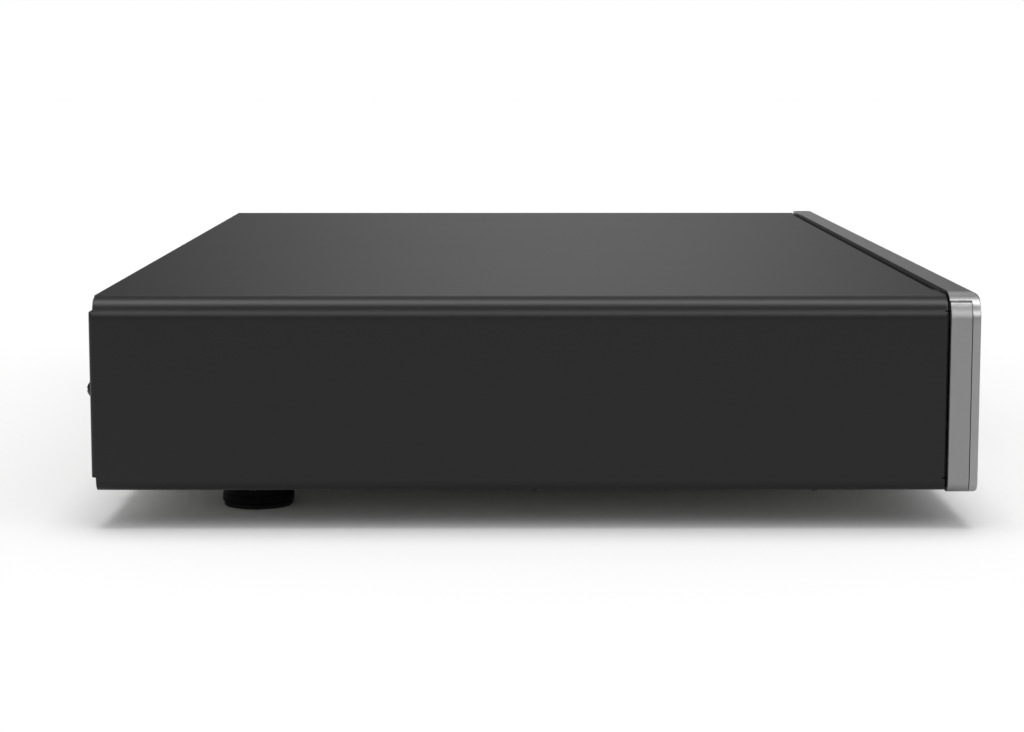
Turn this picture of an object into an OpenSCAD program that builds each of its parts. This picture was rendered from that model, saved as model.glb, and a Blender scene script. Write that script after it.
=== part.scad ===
// Network music streamer: a flat full-width hi-fi case with a folded steel cover,
// an aluminium front plate on a moulded rim, a display, sprung buttons, a turn-and-push
// selector knob, and a rear panel with mains, audio and network sockets.
// Front faces -Y, up is +Z, the floor is Z = 0. All sizes in mm.

/* [Case] */
// Width across the front panel
panel_w = 430; // [424:1:450]
// Depth from the front face to the cover's rear face
body_d = 282; // [276:1:320]
// Height of the cover
cover_h = 63; // [62:0.5:80]
// Thickness of the cover sheet
cover_t = 1.2; // [1:0.1:1.4]
// Outer radius of the cover's top bends
cover_r = 5; // [4:0.5:7]
// Outer radius of the cover's bottom bends
skirt_r = 4; // [3:0.5:5]
// Width of the cover's flanges under the base
return_w = 22; // [20:0.5:26]
// Width of the cover's rear flanges
rear_flange_w = 14; // [13:0.5:18]
// Width of the cover's front flanges
front_flange_w = 8; // [6:0.5:9]
// Drop of the cover's bent front edge
front_edge_h = 1.3; // [1:0.1:3.5]
// Plain length at each end of the bent front edge
front_edge_end = 24; // [20:1:40]
// Outer radius of the small flange bends
edge_r = 2; // [1.8:0.1:2.4]
// Slot between a flange and the next bend
relief = 0.6; // [0.4:0.1:1]
// How far the cover's top stops short of its rear face
rear_step = 1.5; // [1.3:0.1:2]
// Gap between the front panel and the cover's top
cover_gap = 1.2; // [1:0.1:1.6]
// How far the sides reach ahead of the top
side_lead = 0.5; // [0.3:0.1:0.6]
// Thickness of the base sheet
base_t = 1; // [0.8:0.1:1.4]
// Height of the base's front flange
base_front_h = 10; // [8:0.5:10]
// Height of the base's rear flange
base_rear_h = 8.5; // [8:0.5:9]
// Thickness of the rear panel
rear_t = 1.2; // [1:0.1:1.5]
// Width of a rear vent slot
vent_w = 3; // [2.5:0.25:4]
// Height of a rear vent slot
vent_h = 10; // [8:0.5:12]
// Spacing of the rear vent slots
vent_pitch = 9; // [7:0.5:9]
// Rear vent slots, down from the cover's top
vent_drop = 12; // [11:0.5:13]
// Width of a base vent slot
base_vent_w = 3; // [2.5:0.25:4]
// Length of a base vent slot between its end centres
base_vent_l = 36; // [24:1:40]
// Spacing of the base vent slots
base_vent_pitch = 7; // [6:0.5:8]
// First base vent slot, from the middle
base_vent_x = 24; // [20:0.5:28]
// Base vent slots, back from the front face
base_vent_d = 90; // [85:1:95]
// Working gap between loose sheets
gap = 0.3; // [0.2:0.05:0.5]

/* [Feet] */
// Clear height under the cover
foot_h = 12; // [10:0.5:16]
// Radius of a foot
foot_r = 12; // [10:0.5:14]
// Thickness of a foot's rubber pad
pad_t = 1.2; // [1:0.1:2]
// Inner radius of a foot's rubber pad
pad_in_r = 6; // [5:0.5:7]
// Rear feet, in from the cover's side
rear_foot_in = 44.9; // [40:0.1:60]
// Rear feet, in from the cover's rear face
rear_foot_back = 48.6; // [40:0.1:70]
// Front feet, in from the cover's side
front_foot_in = 104.5; // [90:0.5:130]
// Front feet, back from the front face
front_foot_back = 45; // [40:0.5:70]
// Depth left above a foot screw's head
foot_web = 5; // [4:0.5:5.5]

/* [Front panel] */
// Step of the front panel past the cover all round
panel_over = 0.5; // [0.3:0.1:0.8]
// Thickness of the front plate
fascia_t = 2.6; // [2.4:0.1:3]
// Thickness of the front plate's top lip
lip_t = 2.6; // [2.4:0.1:3]
// Depth of the front panel from face to lip edge
panel_d = 9.6; // [9.4:0.1:11]
// Radius of the front panel's top corners
panel_r = 5; // [4:0.5:8]
// Radius of the front panel's bottom corners
panel_low_r = 4; // [3:0.5:5]
// Seam between front plate and rim
seam = 0.25; // [0.15:0.05:0.35]
// Wall of the moulded rim
rim_t = 3; // [3:0.25:4]
// Step of the lip past the rim
lip_over = 0.2; // [0.1:0.05:0.3]
// Thickness of the carrier sheet behind the rim
carrier_t = 1; // [0.8:0.1:1]
// Radius of a rim boss
boss_r = 3.5; // [3.4:0.1:4]
// Outer rim bosses, in from the panel's end
boss_in = 15; // [14:0.5:18]
// Inner rim bosses, from the middle
boss_mid = 112; // [108:0.5:118]
// Rim bosses, in from the rim's edge
boss_edge = 6; // [5.8:0.1:6.2]

/* [Display] */
// Width of the display opening
window_w = 120; // [100:1:124]
// Height of the display opening
window_h = 44; // [36:1:46]
// Corner radius of the display opening
window_r = 2; // [1:0.5:4]
// Hidden edge of the display window
window_edge = 3; // [2:0.25:3.5]
// Thickness of the display window's hidden edge
window_edge_t = 1.2; // [1:0.1:1.4]
// Set-back of the display window's face
window_back = 0.3; // [0.1:0.1:0.6]

/* [Buttons] */
// Length of a control button
button_w = 16; // [12:0.5:17]
// Height of a control button
button_h = 7; // [6:0.25:8]
// Spacing of the control buttons
button_pitch = 13.5; // [12:0.25:14]
// Control buttons, from the middle
button_x = 80; // [76:0.5:86]
// Radius of the standby button
standby_r = 6.5; // [5:0.25:7]
// Standby button, in from the panel's end
standby_in = 27; // [26:0.5:32]
// How far the buttons stand out
button_out = 1; // [0.8:0.1:1.4]
// Gap round a button
button_gap = 0.3; // [0.25:0.05:0.4]
// Lip that holds a button behind the plate
button_lip = 1; // [0.8:0.1:1.3]
// Travel of a button
button_travel = 0.6; // [0.4:0.1:0.7]
// Radius of a button's stem
stem_r = 1.5; // [1.2:0.1:1.6]
// How far a stem reaches into its switch
stem_in = 0.6; // [0.4:0.1:0.7]
// Width of a push switch
tact_w = 6; // [5.5:0.25:6.5]
// Height of a push switch
tact_h = 2.5; // [2.3:0.1:2.7]
// Radius of the status light
light_r = 1.5; // [1.2:0.1:2]
// Status light, below the standby button
light_drop = 14; // [13:0.5:16]

/* [Selector] */
// Radius of the selector knob
knob_r = 21; // [16:0.5:23]
// How far the knob stands out of the front face
knob_out = 15; // [13:0.5:18]
// Knob, in from the panel's end
knob_in = 62; // [56:0.5:70]
// Push travel of the knob
knob_travel = 0.5; // [0.3:0.1:0.6]
// Gap between knob and front face
knob_gap = 1.2; // [1:0.1:1.5]
// Radius of the encoder shaft
shaft_r = 3; // [2.8:0.1:3.1]
// Running gap round the encoder shaft
shaft_fit = 0.05; // [0.04:0.01:0.08]
// Width of the encoder body
encoder_w = 14; // [12:0.5:14.5]
// Depth of the encoder body
encoder_d = 7; // [6.5:0.25:9]
// Wall of the knob's skirt
knob_wall = 2.5; // [2:0.25:4]
// Radius of the knob's hub
hub_r = 8.5; // [7:0.5:10]
// Depth of the ring between the hub and the skirt
knob_ring = 7; // [5:0.5:8]
// Length of shaft inside the knob
shaft_in = 10; // [8:0.5:10.5]
// Radius of the finger dimple's ball
dimple_r = 10.2; // [9.8:0.1:10.6]
// Finger dimple, out from the knob's axis
dimple_out = 13; // [11:0.5:14]
// Radius of the encoder's nut
nut_r = 6.3; // [6:0.1:6.5]
// Height of a socket's or encoder's nut
nut_h = 2.2; // [2:0.1:2.4]

/* [USB sockets] */
// Inner width of a socket's shell
usb_w = 12.5; // [12.3:0.1:12.7]
// Inner height of a socket's shell
usb_h = 5.1; // [5:0.1:5.3]
// Wall of a socket's shell
usb_t = 0.4; // [0.3:0.05:0.5]
// Length of a socket
usb_l = 14; // [13:0.5:15]
// Front socket, in from the panel's end
usb_in = 65; // [60:0.5:72]
// Rear socket, from the network socket
rear_usb_step = 24; // [22:0.5:25]
// Width of a socket's contact tongue
tongue_w = 11; // [10:0.25:11.5]
// Thickness of a socket's contact tongue
tongue_t = 1.8; // [1.6:0.1:2]

/* [Mains] */
// Inlet, in from the cover's side
inlet_in = 44; // [42:0.5:48]
// Width of the inlet's flange
inlet_w = 31; // [30:0.5:33]
// Height of the inlet's flange
inlet_h = 24.5; // [24:0.5:27]
// Thickness of the inlet's flange
inlet_t = 2.4; // [2:0.1:3]
// Width of the inlet's cavity
cavity_w = 24.2; // [24:0.1:24.6]
// Height of the inlet's cavity
cavity_h = 16.4; // [16.2:0.1:16.8]
// Depth of the inlet's cavity
cavity_d = 16; // [15:0.5:17]
// Wall of the inlet's body
inlet_wall = 1.5; // [1.2:0.1:1.8]
// Cut corners of the inlet's cavity
cavity_cut = 4.5; // [4:0.25:5]
// Thickness of the inlet's floor
inlet_floor_t = 4; // [3:0.5:5]
// Spacing of the inlet's outer pins from the middle one
pin_pitch = 7; // [6.9:0.05:7.1]
// Height of the middle pin and drop of the outer pins
pin_rise = 2; // [1.8:0.1:2.2]
// Thickness of an inlet pin
pin_t = 2; // [1.8:0.1:2.1]
// Width of an inlet pin
pin_w = 4; // [3.8:0.1:4.1]
// Length of an inlet pin's tail
tail_l = 8; // [6:0.5:9]
// Spacing of the switch from the inlet
switch_gap = 42; // [38:0.5:46]
// Width of the switch's rim
switch_w = 18; // [17:0.5:20]
// Height of the switch's rim
switch_h = 25; // [24.5:0.5:28]
// Width of the rocker
rocker_w = 12; // [11:0.25:12.5]
// Length of the rocker
rocker_l = 16.4; // [15:0.2:16.6]
// Tilt of the rocker each way
rocker_tilt = 9; // [6:0.5:9]
// Thickness of the switch's rim
switch_rim_t = 1.6; // [1.4:0.1:2]
// Depth of the rocker's pivot behind the panel's face
pivot_back = 3.8; // [3.6:0.1:4.2]
// Height of the rocker's ends over its pivot
rocker_h = 6.4; // [6:0.1:6.6]
// Depth of the rocker's waist below its ends
rocker_dip = 1.5; // [1:0.1:2]
// Length of the switch's body below its cavity
switch_body = 10; // [8:0.5:12]
// Length of the switch's tabs
tab_l = 7; // [6:0.5:8]
// Width of a switch tab
tab_w = 5; // [4.6:0.1:6]

/* [Audio sockets] */
// How far the phono barrels pass the cover's rear face
socket_out = 8; // [7:0.25:9]
// Radius of a phono barrel
barrel_r = 4.15; // [4.1:0.05:4.2]
// Wall of a phono barrel
barrel_t = 0.6; // [0.5:0.05:0.7]
// Radius of a phono contact hole
contact_r = 1.65; // [1.6:0.05:1.7]
// Height of a phono socket above its board
phono_z = 11; // [10:0.5:12]
// Width of a phono block
phono_w = 13; // [12:0.5:15]
// Height of a phono block
phono_h = 19; // [17:0.5:21]
// Depth of a phono block
phono_d = 10; // [9:0.5:11]
// Depth of a phono barrel in its block
barrel_in = 6; // [5:0.5:7]
// Spacing of the line sockets
phono_pitch = 22; // [20:0.5:22]
// Digital socket, from the right line socket
coax_step = 32; // [30:0.5:34]
// Optical socket, from the digital socket
optical_step = 22; // [20:0.5:22]
// Width of the optical socket
optical_w = 10.4; // [10:0.1:11]
// Inner width of the optical socket
optical_in = 7.6; // [7.4:0.1:7.8]
// Depth of the optical socket's opening
optical_d = 9.5; // [9:0.5:10]
// How far the optical socket's nose passes the other board sockets
optical_nose = 2.3; // [2:0.1:3]
// How far the board sockets pass the rear panel
socket_lead = 0.5; // [0.4:0.1:0.8]

/* [Network sockets] */
// Width of the network socket
net_w = 16; // [15.5:0.25:16.5]
// Height of the network socket
net_h = 13.6; // [13.2:0.1:14]
// Length of the network socket
net_l = 21; // [20:0.5:22]
// Width of the network socket's opening
port_w = 11.8; // [11.7:0.05:11.9]
// Height of the network socket's opening
port_h = 6.9; // [6.8:0.1:7]
// Network socket's opening, above the board
port_z = 2.6; // [2.4:0.1:2.8]
// Depth of the network socket's opening
port_d = 13; // [12:0.5:14]
// Width of the network socket's latch slot
latch_w = 6.4; // [6.2:0.1:6.6]
// Height of the network socket's latch slot
latch_h = 2.3; // [2:0.1:2.5]
// Network socket, in from the main board's edge
net_in = 15; // [13:0.5:16]
// Radius of the aerial sockets' thread
aerial_r = 3.175; // [3.1:0.005:3.2]
// How far the aerial sockets pass the cover's rear face
aerial_out = 7; // [6:0.25:7]
// Width of an aerial socket's block
aerial_w = 8; // [7:0.5:9]
// Height of an aerial socket's block
aerial_h = 9; // [8.5:0.25:10]
// Height of an aerial socket's axis above the board
aerial_up = 5; // [4.75:0.25:5.25]
// Radius of an aerial socket's nut
aerial_nut_r = 4.6; // [4.4:0.1:4.75]
// Near aerial socket, from the rear serial socket
aerial_step = 22; // [20:0.5:22]
// Near aerial socket, from the optical socket
aerial_gap = 20; // [18:0.5:22]
// Far aerial socket, from the left line socket
aerial_far = 36; // [32:0.5:40]

/* [Boards] */
// Height of the board spacers
spacer_h = 8; // [7:0.5:8.5]
// Thickness of the boards
board_t = 1.6; // [1.2:0.1:1.6]
// Radius of a board spacer
spacer_r = 2.75; // [2.5:0.05:3]
// Board spacers, in from the board's edge
spacer_in = 6; // [5:0.5:7]
// Rear spacers of the main board, in from its rear edge
spacer_back = 30; // [28:0.5:32]
// Middle spacers of the main board, in from its right edge
spacer_mid = 119; // [117:0.5:121]
// Main board, in from the base's left edge
main_in = 26.4; // [22:0.1:30]
// Main board, from the rear panel
main_back = 2.6; // [2.4:0.1:3]
// Depth of the main board
main_d = 117; // [110:1:122]
// Width of the power board
power_w = 110; // [108:1:116]
// Depth of the power board
power_d = 115; // [110:1:118]
// Power board, in from the base's right edge
power_in = 9; // [8:0.5:10]
// Power board, from the rear panel
power_back = 30; // [28:0.5:32]
// Space between the two boards
board_space = 18; // [16:0.5:20]
// Width of the ribbon cable
ribbon_w = 20; // [14:0.5:22]
// Thickness of the ribbon cable
ribbon_t = 0.3; // [0.2:0.05:0.4]
// Ribbon cable, in from the main board's right edge
ribbon_in = 93; // [92:0.5:98]
// Height of the ribbon cable above the main board
ribbon_up = 3; // [2.5:0.25:3.5]
// Height of a ribbon header
header_h = 5; // [4:0.25:5]
// Depth of a ribbon header
header_d = 4; // [3.5:0.25:4.5]
// Side of a ribbon header past the cable
header_over = 2; // [1.5:0.25:2.5]
// Width of a supply header
terminal_w = 6; // [5:0.5:7]
// Length of a supply header
terminal_l = 16; // [15:0.5:18]
// Height of a supply header
terminal_h = 8; // [7:0.5:9]
// Supply headers, back from the power board's front edge
terminal_d = 48; // [46:0.5:50]
// Spacing of the supply leads
lead_pitch = 3.3; // [3:0.1:3.6]
// Radius of a mains lead
lead_r = 1.2; // [0.8:0.1:1.4]
// Radius of a supply lead
wire_r = 0.8; // [0.6:0.1:1]

/* [Board parts] */
// Width of the streaming module
module_w = 70; // [66:1:74]
// Depth of the streaming module
module_d = 55; // [52:1:58]
// Thickness of the streaming module
module_t = 1.2; // [1:0.1:1.6]
// Streaming module, above the main board
module_up = 4; // [3.5:0.25:5]
// Streaming module, in from the main board's right edge
module_in = 33; // [30:0.5:36]
// Streaming module, in from the main board's rear edge
module_back = 42; // [40:0.5:44]
// Width of a module's connector strip
strip_w = 5; // [4:0.25:6]
// Length of a module's connector strip
strip_l = 45; // [42:1:50]
// Connector strips, in from the module's edge
strip_in = 3; // [2:0.25:4]
// Width of the module's shield
shield_w = 48; // [44:1:52]
// Depth of the module's shield
shield_d = 42; // [38:1:46]
// Height of the module's shield
shield_h = 3.8; // [3:0.1:5]
// Thickness of the module's shield
shield_t = 0.4; // [0.3:0.05:0.5]
// Width of the converter chip
chip_w = 14; // [12:0.5:16]
// Width of the clock chip
small_chip_w = 12; // [10:0.5:14]
// Height of the chips
chip_h = 1.4; // [1:0.1:1.8]
// Converter chip, in from the main board's right edge
chip_in = 158; // [154:1:162]
// Clock chip, in from the main board's right edge
small_chip_in = 194; // [190:1:198]
// Chips, in from the main board's rear edge
chip_back = 68; // [66:0.5:72]
// Radius of the mains capacitor
bulk_r = 9; // [8:0.5:10]
// Height of the mains capacitor
bulk_h = 26; // [22:0.5:30]
// Mains capacitor, in from the power board's right edge
bulk_in = 20; // [18:0.5:22]
// Mains capacitor, in from the power board's rear edge
bulk_back = 28; // [26:0.5:30]
// Radius of a filter capacitor
filter_r = 5; // [4:0.25:6]
// Height of a filter capacitor
filter_h = 16; // [14:0.5:20]
// Spacing of the filter capacitors
filter_pitch = 14; // [13:0.5:15]
// Filter capacitors, in from the power board's left edge
filter_in = 24; // [22:0.5:26]
// First filter capacitor, back from the power board's front edge
filter_d = 36; // [34:0.5:38]
// Radius of an audio capacitor
audio_r = 4; // [3:0.25:5]
// Height of an audio capacitor
audio_h = 9; // [7:0.5:12]
// Spacing of the audio capacitors
audio_pitch = 12; // [11:0.5:13]
// First audio capacitor, in from the main board's right edge
audio_in = 140; // [136:0.5:142]
// First audio capacitor, in from the main board's rear edge
audio_back = 30; // [28:0.5:32]
// Width of the transformer's core
core_w = 34; // [30:0.5:36]
// Depth of the transformer's core
core_d = 14; // [12:0.5:16]
// Height of the transformer's core
core_h = 26; // [24:0.5:30]
// Width of the transformer's winding
winding_w = 24; // [22:0.5:28]
// Depth of the transformer's winding
winding_d = 30; // [26:0.5:32]
// Step of the winding below and above the core's ends
winding_step = 2; // [1.5:0.25:3]
// Transformer, in from the power board's left edge
core_in = 57; // [56:0.5:60]
// Transformer, back from the power board's front edge
core_back = 59; // [57:0.5:61]
// Thickness of the heat sink's plate
sink_t = 3; // [2:0.25:4]
// Height of the heat sink
sink_h = 26; // [22:0.5:30]
// Length of a heat sink fin
fin_l = 10; // [8:0.5:12]
// Thickness of a heat sink fin
fin_t = 2.5; // [2:0.25:3]
// Spacing of the heat sink fins
fin_pitch = 8.5; // [7.5:0.25:9]
// Heat sink, in from the power board's left edge
sink_in = 14; // [12:0.5:16]
// Heat sink, back from the power board's front edge
sink_back = 4; // [3:0.5:5]
// Width of the mains header
mains_header_w = 20; // [18:0.5:22]
// Depth of the mains header
mains_header_d = 10; // [9:0.5:12]
// Height of the mains header
mains_header_h = 10; // [9:0.5:12]
// Mains header, in from the power board's rear edge
mains_header_back = 4; // [3:0.5:5]

/* [Fasteners] */
// Radius of a case screw's shank
screw_r = 1.45; // [1.4:0.01:1.48]
// Radius of a case screw's head
head_r = 2.75; // [2.5:0.05:3]
// Height of a case screw's head
head_h = 2.2; // [1.8:0.1:2.4]
// Radius of a case screw's hole
hole_r = 1.65; // [1.6:0.05:1.8]
// Radius of a small screw's shank
small_r = 1.2; // [1.1:0.05:1.25]
// Radius of a small screw's head
small_head_r = 2.2; // [2:0.05:2.3]
// Height of a small screw's head
small_head_h = 1.6; // [1.4:0.1:1.8]
// Radius of a small screw's hole
small_hole_r = 1.4; // [1.35:0.05:1.5]
// Cover's rear screws, in from its side
cover_screw_in = 9; // [8.5:0.25:9.5]
// Cover's rear screws, above the middle of its side
cover_screw_up = 0.4; // [0:0.1:1]
// Cover's bottom screws, in from its side
base_screw_in = 14.5; // [14:0.25:15]
// Cover's end bottom screws, from the front face and the rear face
base_screw_end = 50; // [48:0.5:56]
// Left rear panel screw, in from the cover's side
rear_screw_left = 54.5; // [52:0.5:60]
// Right rear panel screw, in from the cover's side
rear_screw_right = 24.5; // [24:0.5:26]
// Middle rear panel screws, from the main board's right edge
rear_screw_step = 6.8; // [6:0.1:8]
// Spacing of the middle rear panel screws
rear_screw_span = 130; // [129:0.5:131]
// Rear panel screws, above the base
rear_screw_up = 5.2; // [5:0.1:5.4]
// Outer carrier screws, in from the panel's end
carrier_screw_in = 45; // [42:0.5:48]
// Inner carrier screws, from the middle
carrier_screw_mid = 60; // [58:0.5:64]
// Carrier screws, above the base
carrier_screw_up = 6; // [5.5:0.25:6.5]
// Front board screws, above and below the middle
board_screw_step = 13.5; // [13:0.25:14]

/* [Hidden] */
$fn = 64;
eps = 1;
fascia_y = (knob_out - body_d - socket_out) / 2;
cover_w = panel_w - 2 * panel_over;
cover_hw = cover_w / 2;
cover_z = foot_h;
cover_top = foot_h + cover_h;
panel_z = cover_z - panel_over;
panel_top = cover_top + panel_over;
mid_z = (panel_z + panel_top) / 2;
frame_front = fascia_t + seam;
frame_back = panel_d - lip_over;
frame_top = panel_top - lip_t - seam;
carrier_back = frame_back + carrier_t;
cover_front = panel_d + cover_gap;
side_front = cover_front - side_lead;
cover_rear = body_d - rear_step;
flange_z0 = cover_z + skirt_r + relief;
flange_z1 = cover_top - cover_r - relief;
edge_hw = cover_hw - front_edge_end;
rear_out = body_d - cover_t;
rear_in = rear_out - rear_t;
base_z = cover_z + cover_t;
base_top = base_z + base_t;
base_hw = cover_hw - skirt_r - gap;
front_hw = cover_hw - front_flange_w - 4 * gap;
board_z = base_top + spacer_h;
board_top = board_z + board_t;
power_x1 = base_hw - power_in;
power_x0 = power_x1 - power_w;
power_d1 = rear_in - power_back;
power_d0 = power_d1 - power_d;
main_x1 = power_x0 - board_space;
main_x0 = main_in - base_hw;
main_d1 = rear_in - main_back;
main_d0 = main_d1 - main_d;
panel_board_d1 = frame_back;
panel_board_d0 = panel_board_d1 - board_t;
panel_board_hw = panel_w / 2 - standby_in + 10;
panel_board_z0 = panel_z + boss_edge + boss_r + 2;
panel_board_z1 = frame_top - boss_edge - boss_r - 0.5;
switch_front = panel_board_d0 - tact_h;
stem_end = switch_front + stem_in;
lip_front = fascia_t + 0.1;
standby_x = standby_in - panel_w / 2;
front_usb_x = usb_in - panel_w / 2;
knob_x = panel_w / 2 - knob_in;
button_rows = [mid_z + button_pitch, mid_z, mid_z - button_pitch];
boss_x = panel_w / 2 - boss_in;
boss_points = [
  for (x = [-boss_x, -boss_mid, boss_mid, boss_x])
    for (z = [panel_z + boss_edge, frame_top - boss_edge]) [x, z]
];
panel_screw_points = [
  for (x = [-boss_mid, boss_mid])
    for (z = [mid_z - board_screw_step, mid_z + board_screw_step]) [x, z]
];
carrier_screw_end = panel_w / 2 - carrier_screw_in;
carrier_screw_x = [-carrier_screw_end, -carrier_screw_mid, carrier_screw_mid, carrier_screw_end];
carrier_screw_z = base_z + carrier_screw_up;
rear_screw_x = [
  rear_screw_left - cover_hw, main_x1 + rear_screw_step - rear_screw_span,
  main_x1 + rear_screw_step, cover_hw - rear_screw_right
];
rear_screw_z = base_z + rear_screw_up;
base_screw_d = [base_screw_end, body_d / 2, body_d - base_screw_end];
base_screw_x = cover_hw - base_screw_in;
cover_screw_x = cover_hw - cover_screw_in;
cover_screw_z = cover_z + cover_h / 2 + cover_screw_up;
feet_points = [
  [-cover_hw + front_foot_in, front_foot_back],
  [cover_hw - front_foot_in, front_foot_back],
  [-cover_hw + rear_foot_in, body_d - rear_foot_back],
  [cover_hw - rear_foot_in, body_d - rear_foot_back]
];
foot_seat = base_z - foot_web;
inlet_x = cover_hw - inlet_in;
inlet_z = mid_z;
inlet_body_w = cavity_w + 2 * inlet_wall;
inlet_body_h = cavity_h + 2 * inlet_wall;
inlet_floor = rear_out + inlet_t - cavity_d;
inlet_back = inlet_floor - inlet_floor_t;
pin_tail = inlet_back - tail_l;
pin_points = [[-pin_pitch, -pin_rise], [0, pin_rise], [pin_pitch, -pin_rise]];
switch_x = inlet_x - switch_gap;
switch_z = mid_z;
switch_cave_w = rocker_w + 0.6;
switch_cave_h = rocker_l + 3.2;
pivot_d = rear_out - pivot_back;
switch_floor = pivot_d - 4;
switch_back = switch_floor - switch_body;
tab_end = switch_back - tab_l;
net_x = main_x1 - net_in;
rear_usb_x = net_x - rear_usb_step;
near_aerial_x = rear_usb_x - aerial_step;
optical_x = near_aerial_x - aerial_gap;
coax_x = optical_x - optical_step;
right_x = coax_x - coax_step;
left_x = right_x - phono_pitch;
far_aerial_x = left_x - aerial_far;
aerial_x = [near_aerial_x, far_aerial_x];
socket_end = body_d + socket_out;
phono_axis = board_top + phono_z;
barrel_seat = rear_in - barrel_in;
insert_r = barrel_r - barrel_t - 0.05;
socket_face = rear_out + socket_lead;
optical_z = board_top + optical_w / 2;
shutter_z = optical_z + optical_in / 2 - 0.9;
optical_face = socket_face + optical_nose;
shutter_d = optical_face - 1.1;
aerial_z = board_top + aerial_up;
ribbon_x = main_x1 - ribbon_in;
ribbon_z = board_top + ribbon_up;
header_hw = ribbon_w / 2 + header_over;
rear_usb_z = board_top + usb_h / 2 + usb_t;
main_spacers = [
  for (d = [main_d0 + spacer_in, main_d1 - spacer_back])
    for (x = [main_x0 + spacer_in, main_x1 - spacer_mid, main_x1 - spacer_in]) [x, d]
];
power_spacers = [
  for (d = [power_d0 + spacer_in, power_d1 - spacer_in])
    for (x = [power_x0 + spacer_in, power_x1 - spacer_in]) [x, d]
];
spacer_points = concat(main_spacers, power_spacers);
filter_points = [
  for (i = [0 : 2]) [power_x0 + filter_in, power_d0 + filter_d + i * filter_pitch]
];
audio_points = [
  for (j = [0 : 1])
    for (i = [0 : 2]) [main_x1 - audio_in - i * audio_pitch, main_d1 - audio_back - j * audio_pitch]
];
module_x1 = main_x1 - module_in;
module_x0 = module_x1 - module_w;
module_d1 = main_d1 - module_back;
module_d0 = module_d1 - module_d;
module_z = board_top + module_up;
module_mid_x = (module_x0 + module_x1) / 2;
module_mid_d = (module_d0 + module_d1) / 2;
core_x = power_x0 + core_in;
core_mid_d = power_d0 + core_back;
supply_d = power_d0 + terminal_d;
mains_header_d1 = power_d1 - mains_header_back;

// A flat outline in X and Z, drawn from depth d0 to depth d1 behind the front face
module deep(d0, d1) {
  translate([0, fascia_y + d1, 0])
    rotate([90, 0, 0])
      linear_extrude(height = d1 - d0)
        children();
}

// A block between two corners, with depth measured from the front face
module block(x0, x1, d0, d1, z0, z1) {
  translate([x0, fascia_y + d0, z0])
    cube([x1 - x0, d1 - d0, z1 - z0]);
}

// A round bar along the depth
module rod(x, z, d0, d1, r) {
  translate([x, fascia_y + d1, z])
    rotate([90, 0, 0])
      cylinder(r = r, h = d1 - d0);
}

// An upright round bar
module post(x, d, z0, z1, r) {
  translate([x, fascia_y + d, z0])
    cylinder(r = r, h = z1 - z0);
}

// A rectangle with round corners about its middle
module round_rect(w, h, r) {
  square([w, h - 2 * r], center = true);
  square([w - 2 * r, h], center = true);
  for (x = [-1, 1])
    for (y = [-1, 1])
      translate([x * (w / 2 - r), y * (h / 2 - r)])
        circle(r = r);
}

// The case outline with its own radius at the top and at the bottom
module case_outline(w, z0, z1, r1, r0) {
  translate([-w / 2, z0 + r0])
    square([w, z1 - z0 - r0 - r1]);
  translate([-w / 2 + r0, z0])
    square([w - 2 * r0, r0 + eps]);
  translate([-w / 2 + r1, z1 - r1 - eps])
    square([w - 2 * r1, r1 + eps]);
  for (x = [-1, 1]) {
    translate([x * (w / 2 - r0), z0 + r0])
      circle(r = r0);
    translate([x * (w / 2 - r1), z1 - r1])
      circle(r = r1);
  }
}

// A quarter of a sheet bend about its centre, opening to plus X and plus Y
module bend() {
  intersection() {
    difference() {
      circle(r = edge_r);
      circle(r = edge_r - cover_t);
    }
    square(edge_r + eps);
  }
}

// A screw with a domed head, head upward from its seat at zero
module dome_screw(hr, hh, sr, sl) {
  rim = hh * 0.3;
  crown = hh - rim;
  ball = (hr * hr + crown * crown) / (2 * crown);
  rotate_extrude()
    union() {
      intersection() {
        translate([0, hh - ball])
          circle(r = ball);
        square([hr, hh]);
      }
      translate([0, -sl])
        square([sr, sl]);
    }
}

module screw_back(x, z, d, sl) {
  translate([x, fascia_y + d, z])
    rotate([-90, 0, 0])
      dome_screw(head_r, head_h, screw_r, sl);
}

module small_screw_back(x, z, d, sl) {
  translate([x, fascia_y + d, z])
    rotate([-90, 0, 0])
      dome_screw(small_head_r, small_head_h, small_r, sl);
}

module screw_under(x, d, z, sl) {
  translate([x, fascia_y + d, z])
    rotate([180, 0, 0])
      dome_screw(head_r, head_h, screw_r, sl);
}

// One side's bent ends in plan, for the side at plus X
module side_ends() {
  translate([cover_hw - cover_t, side_front + edge_r])
    square([cover_t, 4]);
  translate([cover_hw - edge_r, side_front + edge_r])
    mirror([0, 1])
      bend();
  translate([cover_hw - front_flange_w, side_front])
    square([front_flange_w - edge_r, cover_t]);
  translate([cover_hw - cover_t, body_d - edge_r - 4])
    square([cover_t, 4]);
  translate([cover_hw - edge_r, body_d - edge_r])
    bend();
  translate([cover_hw - rear_flange_w, body_d - cover_t])
    square([rear_flange_w - edge_r, cover_t]);
}

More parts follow.
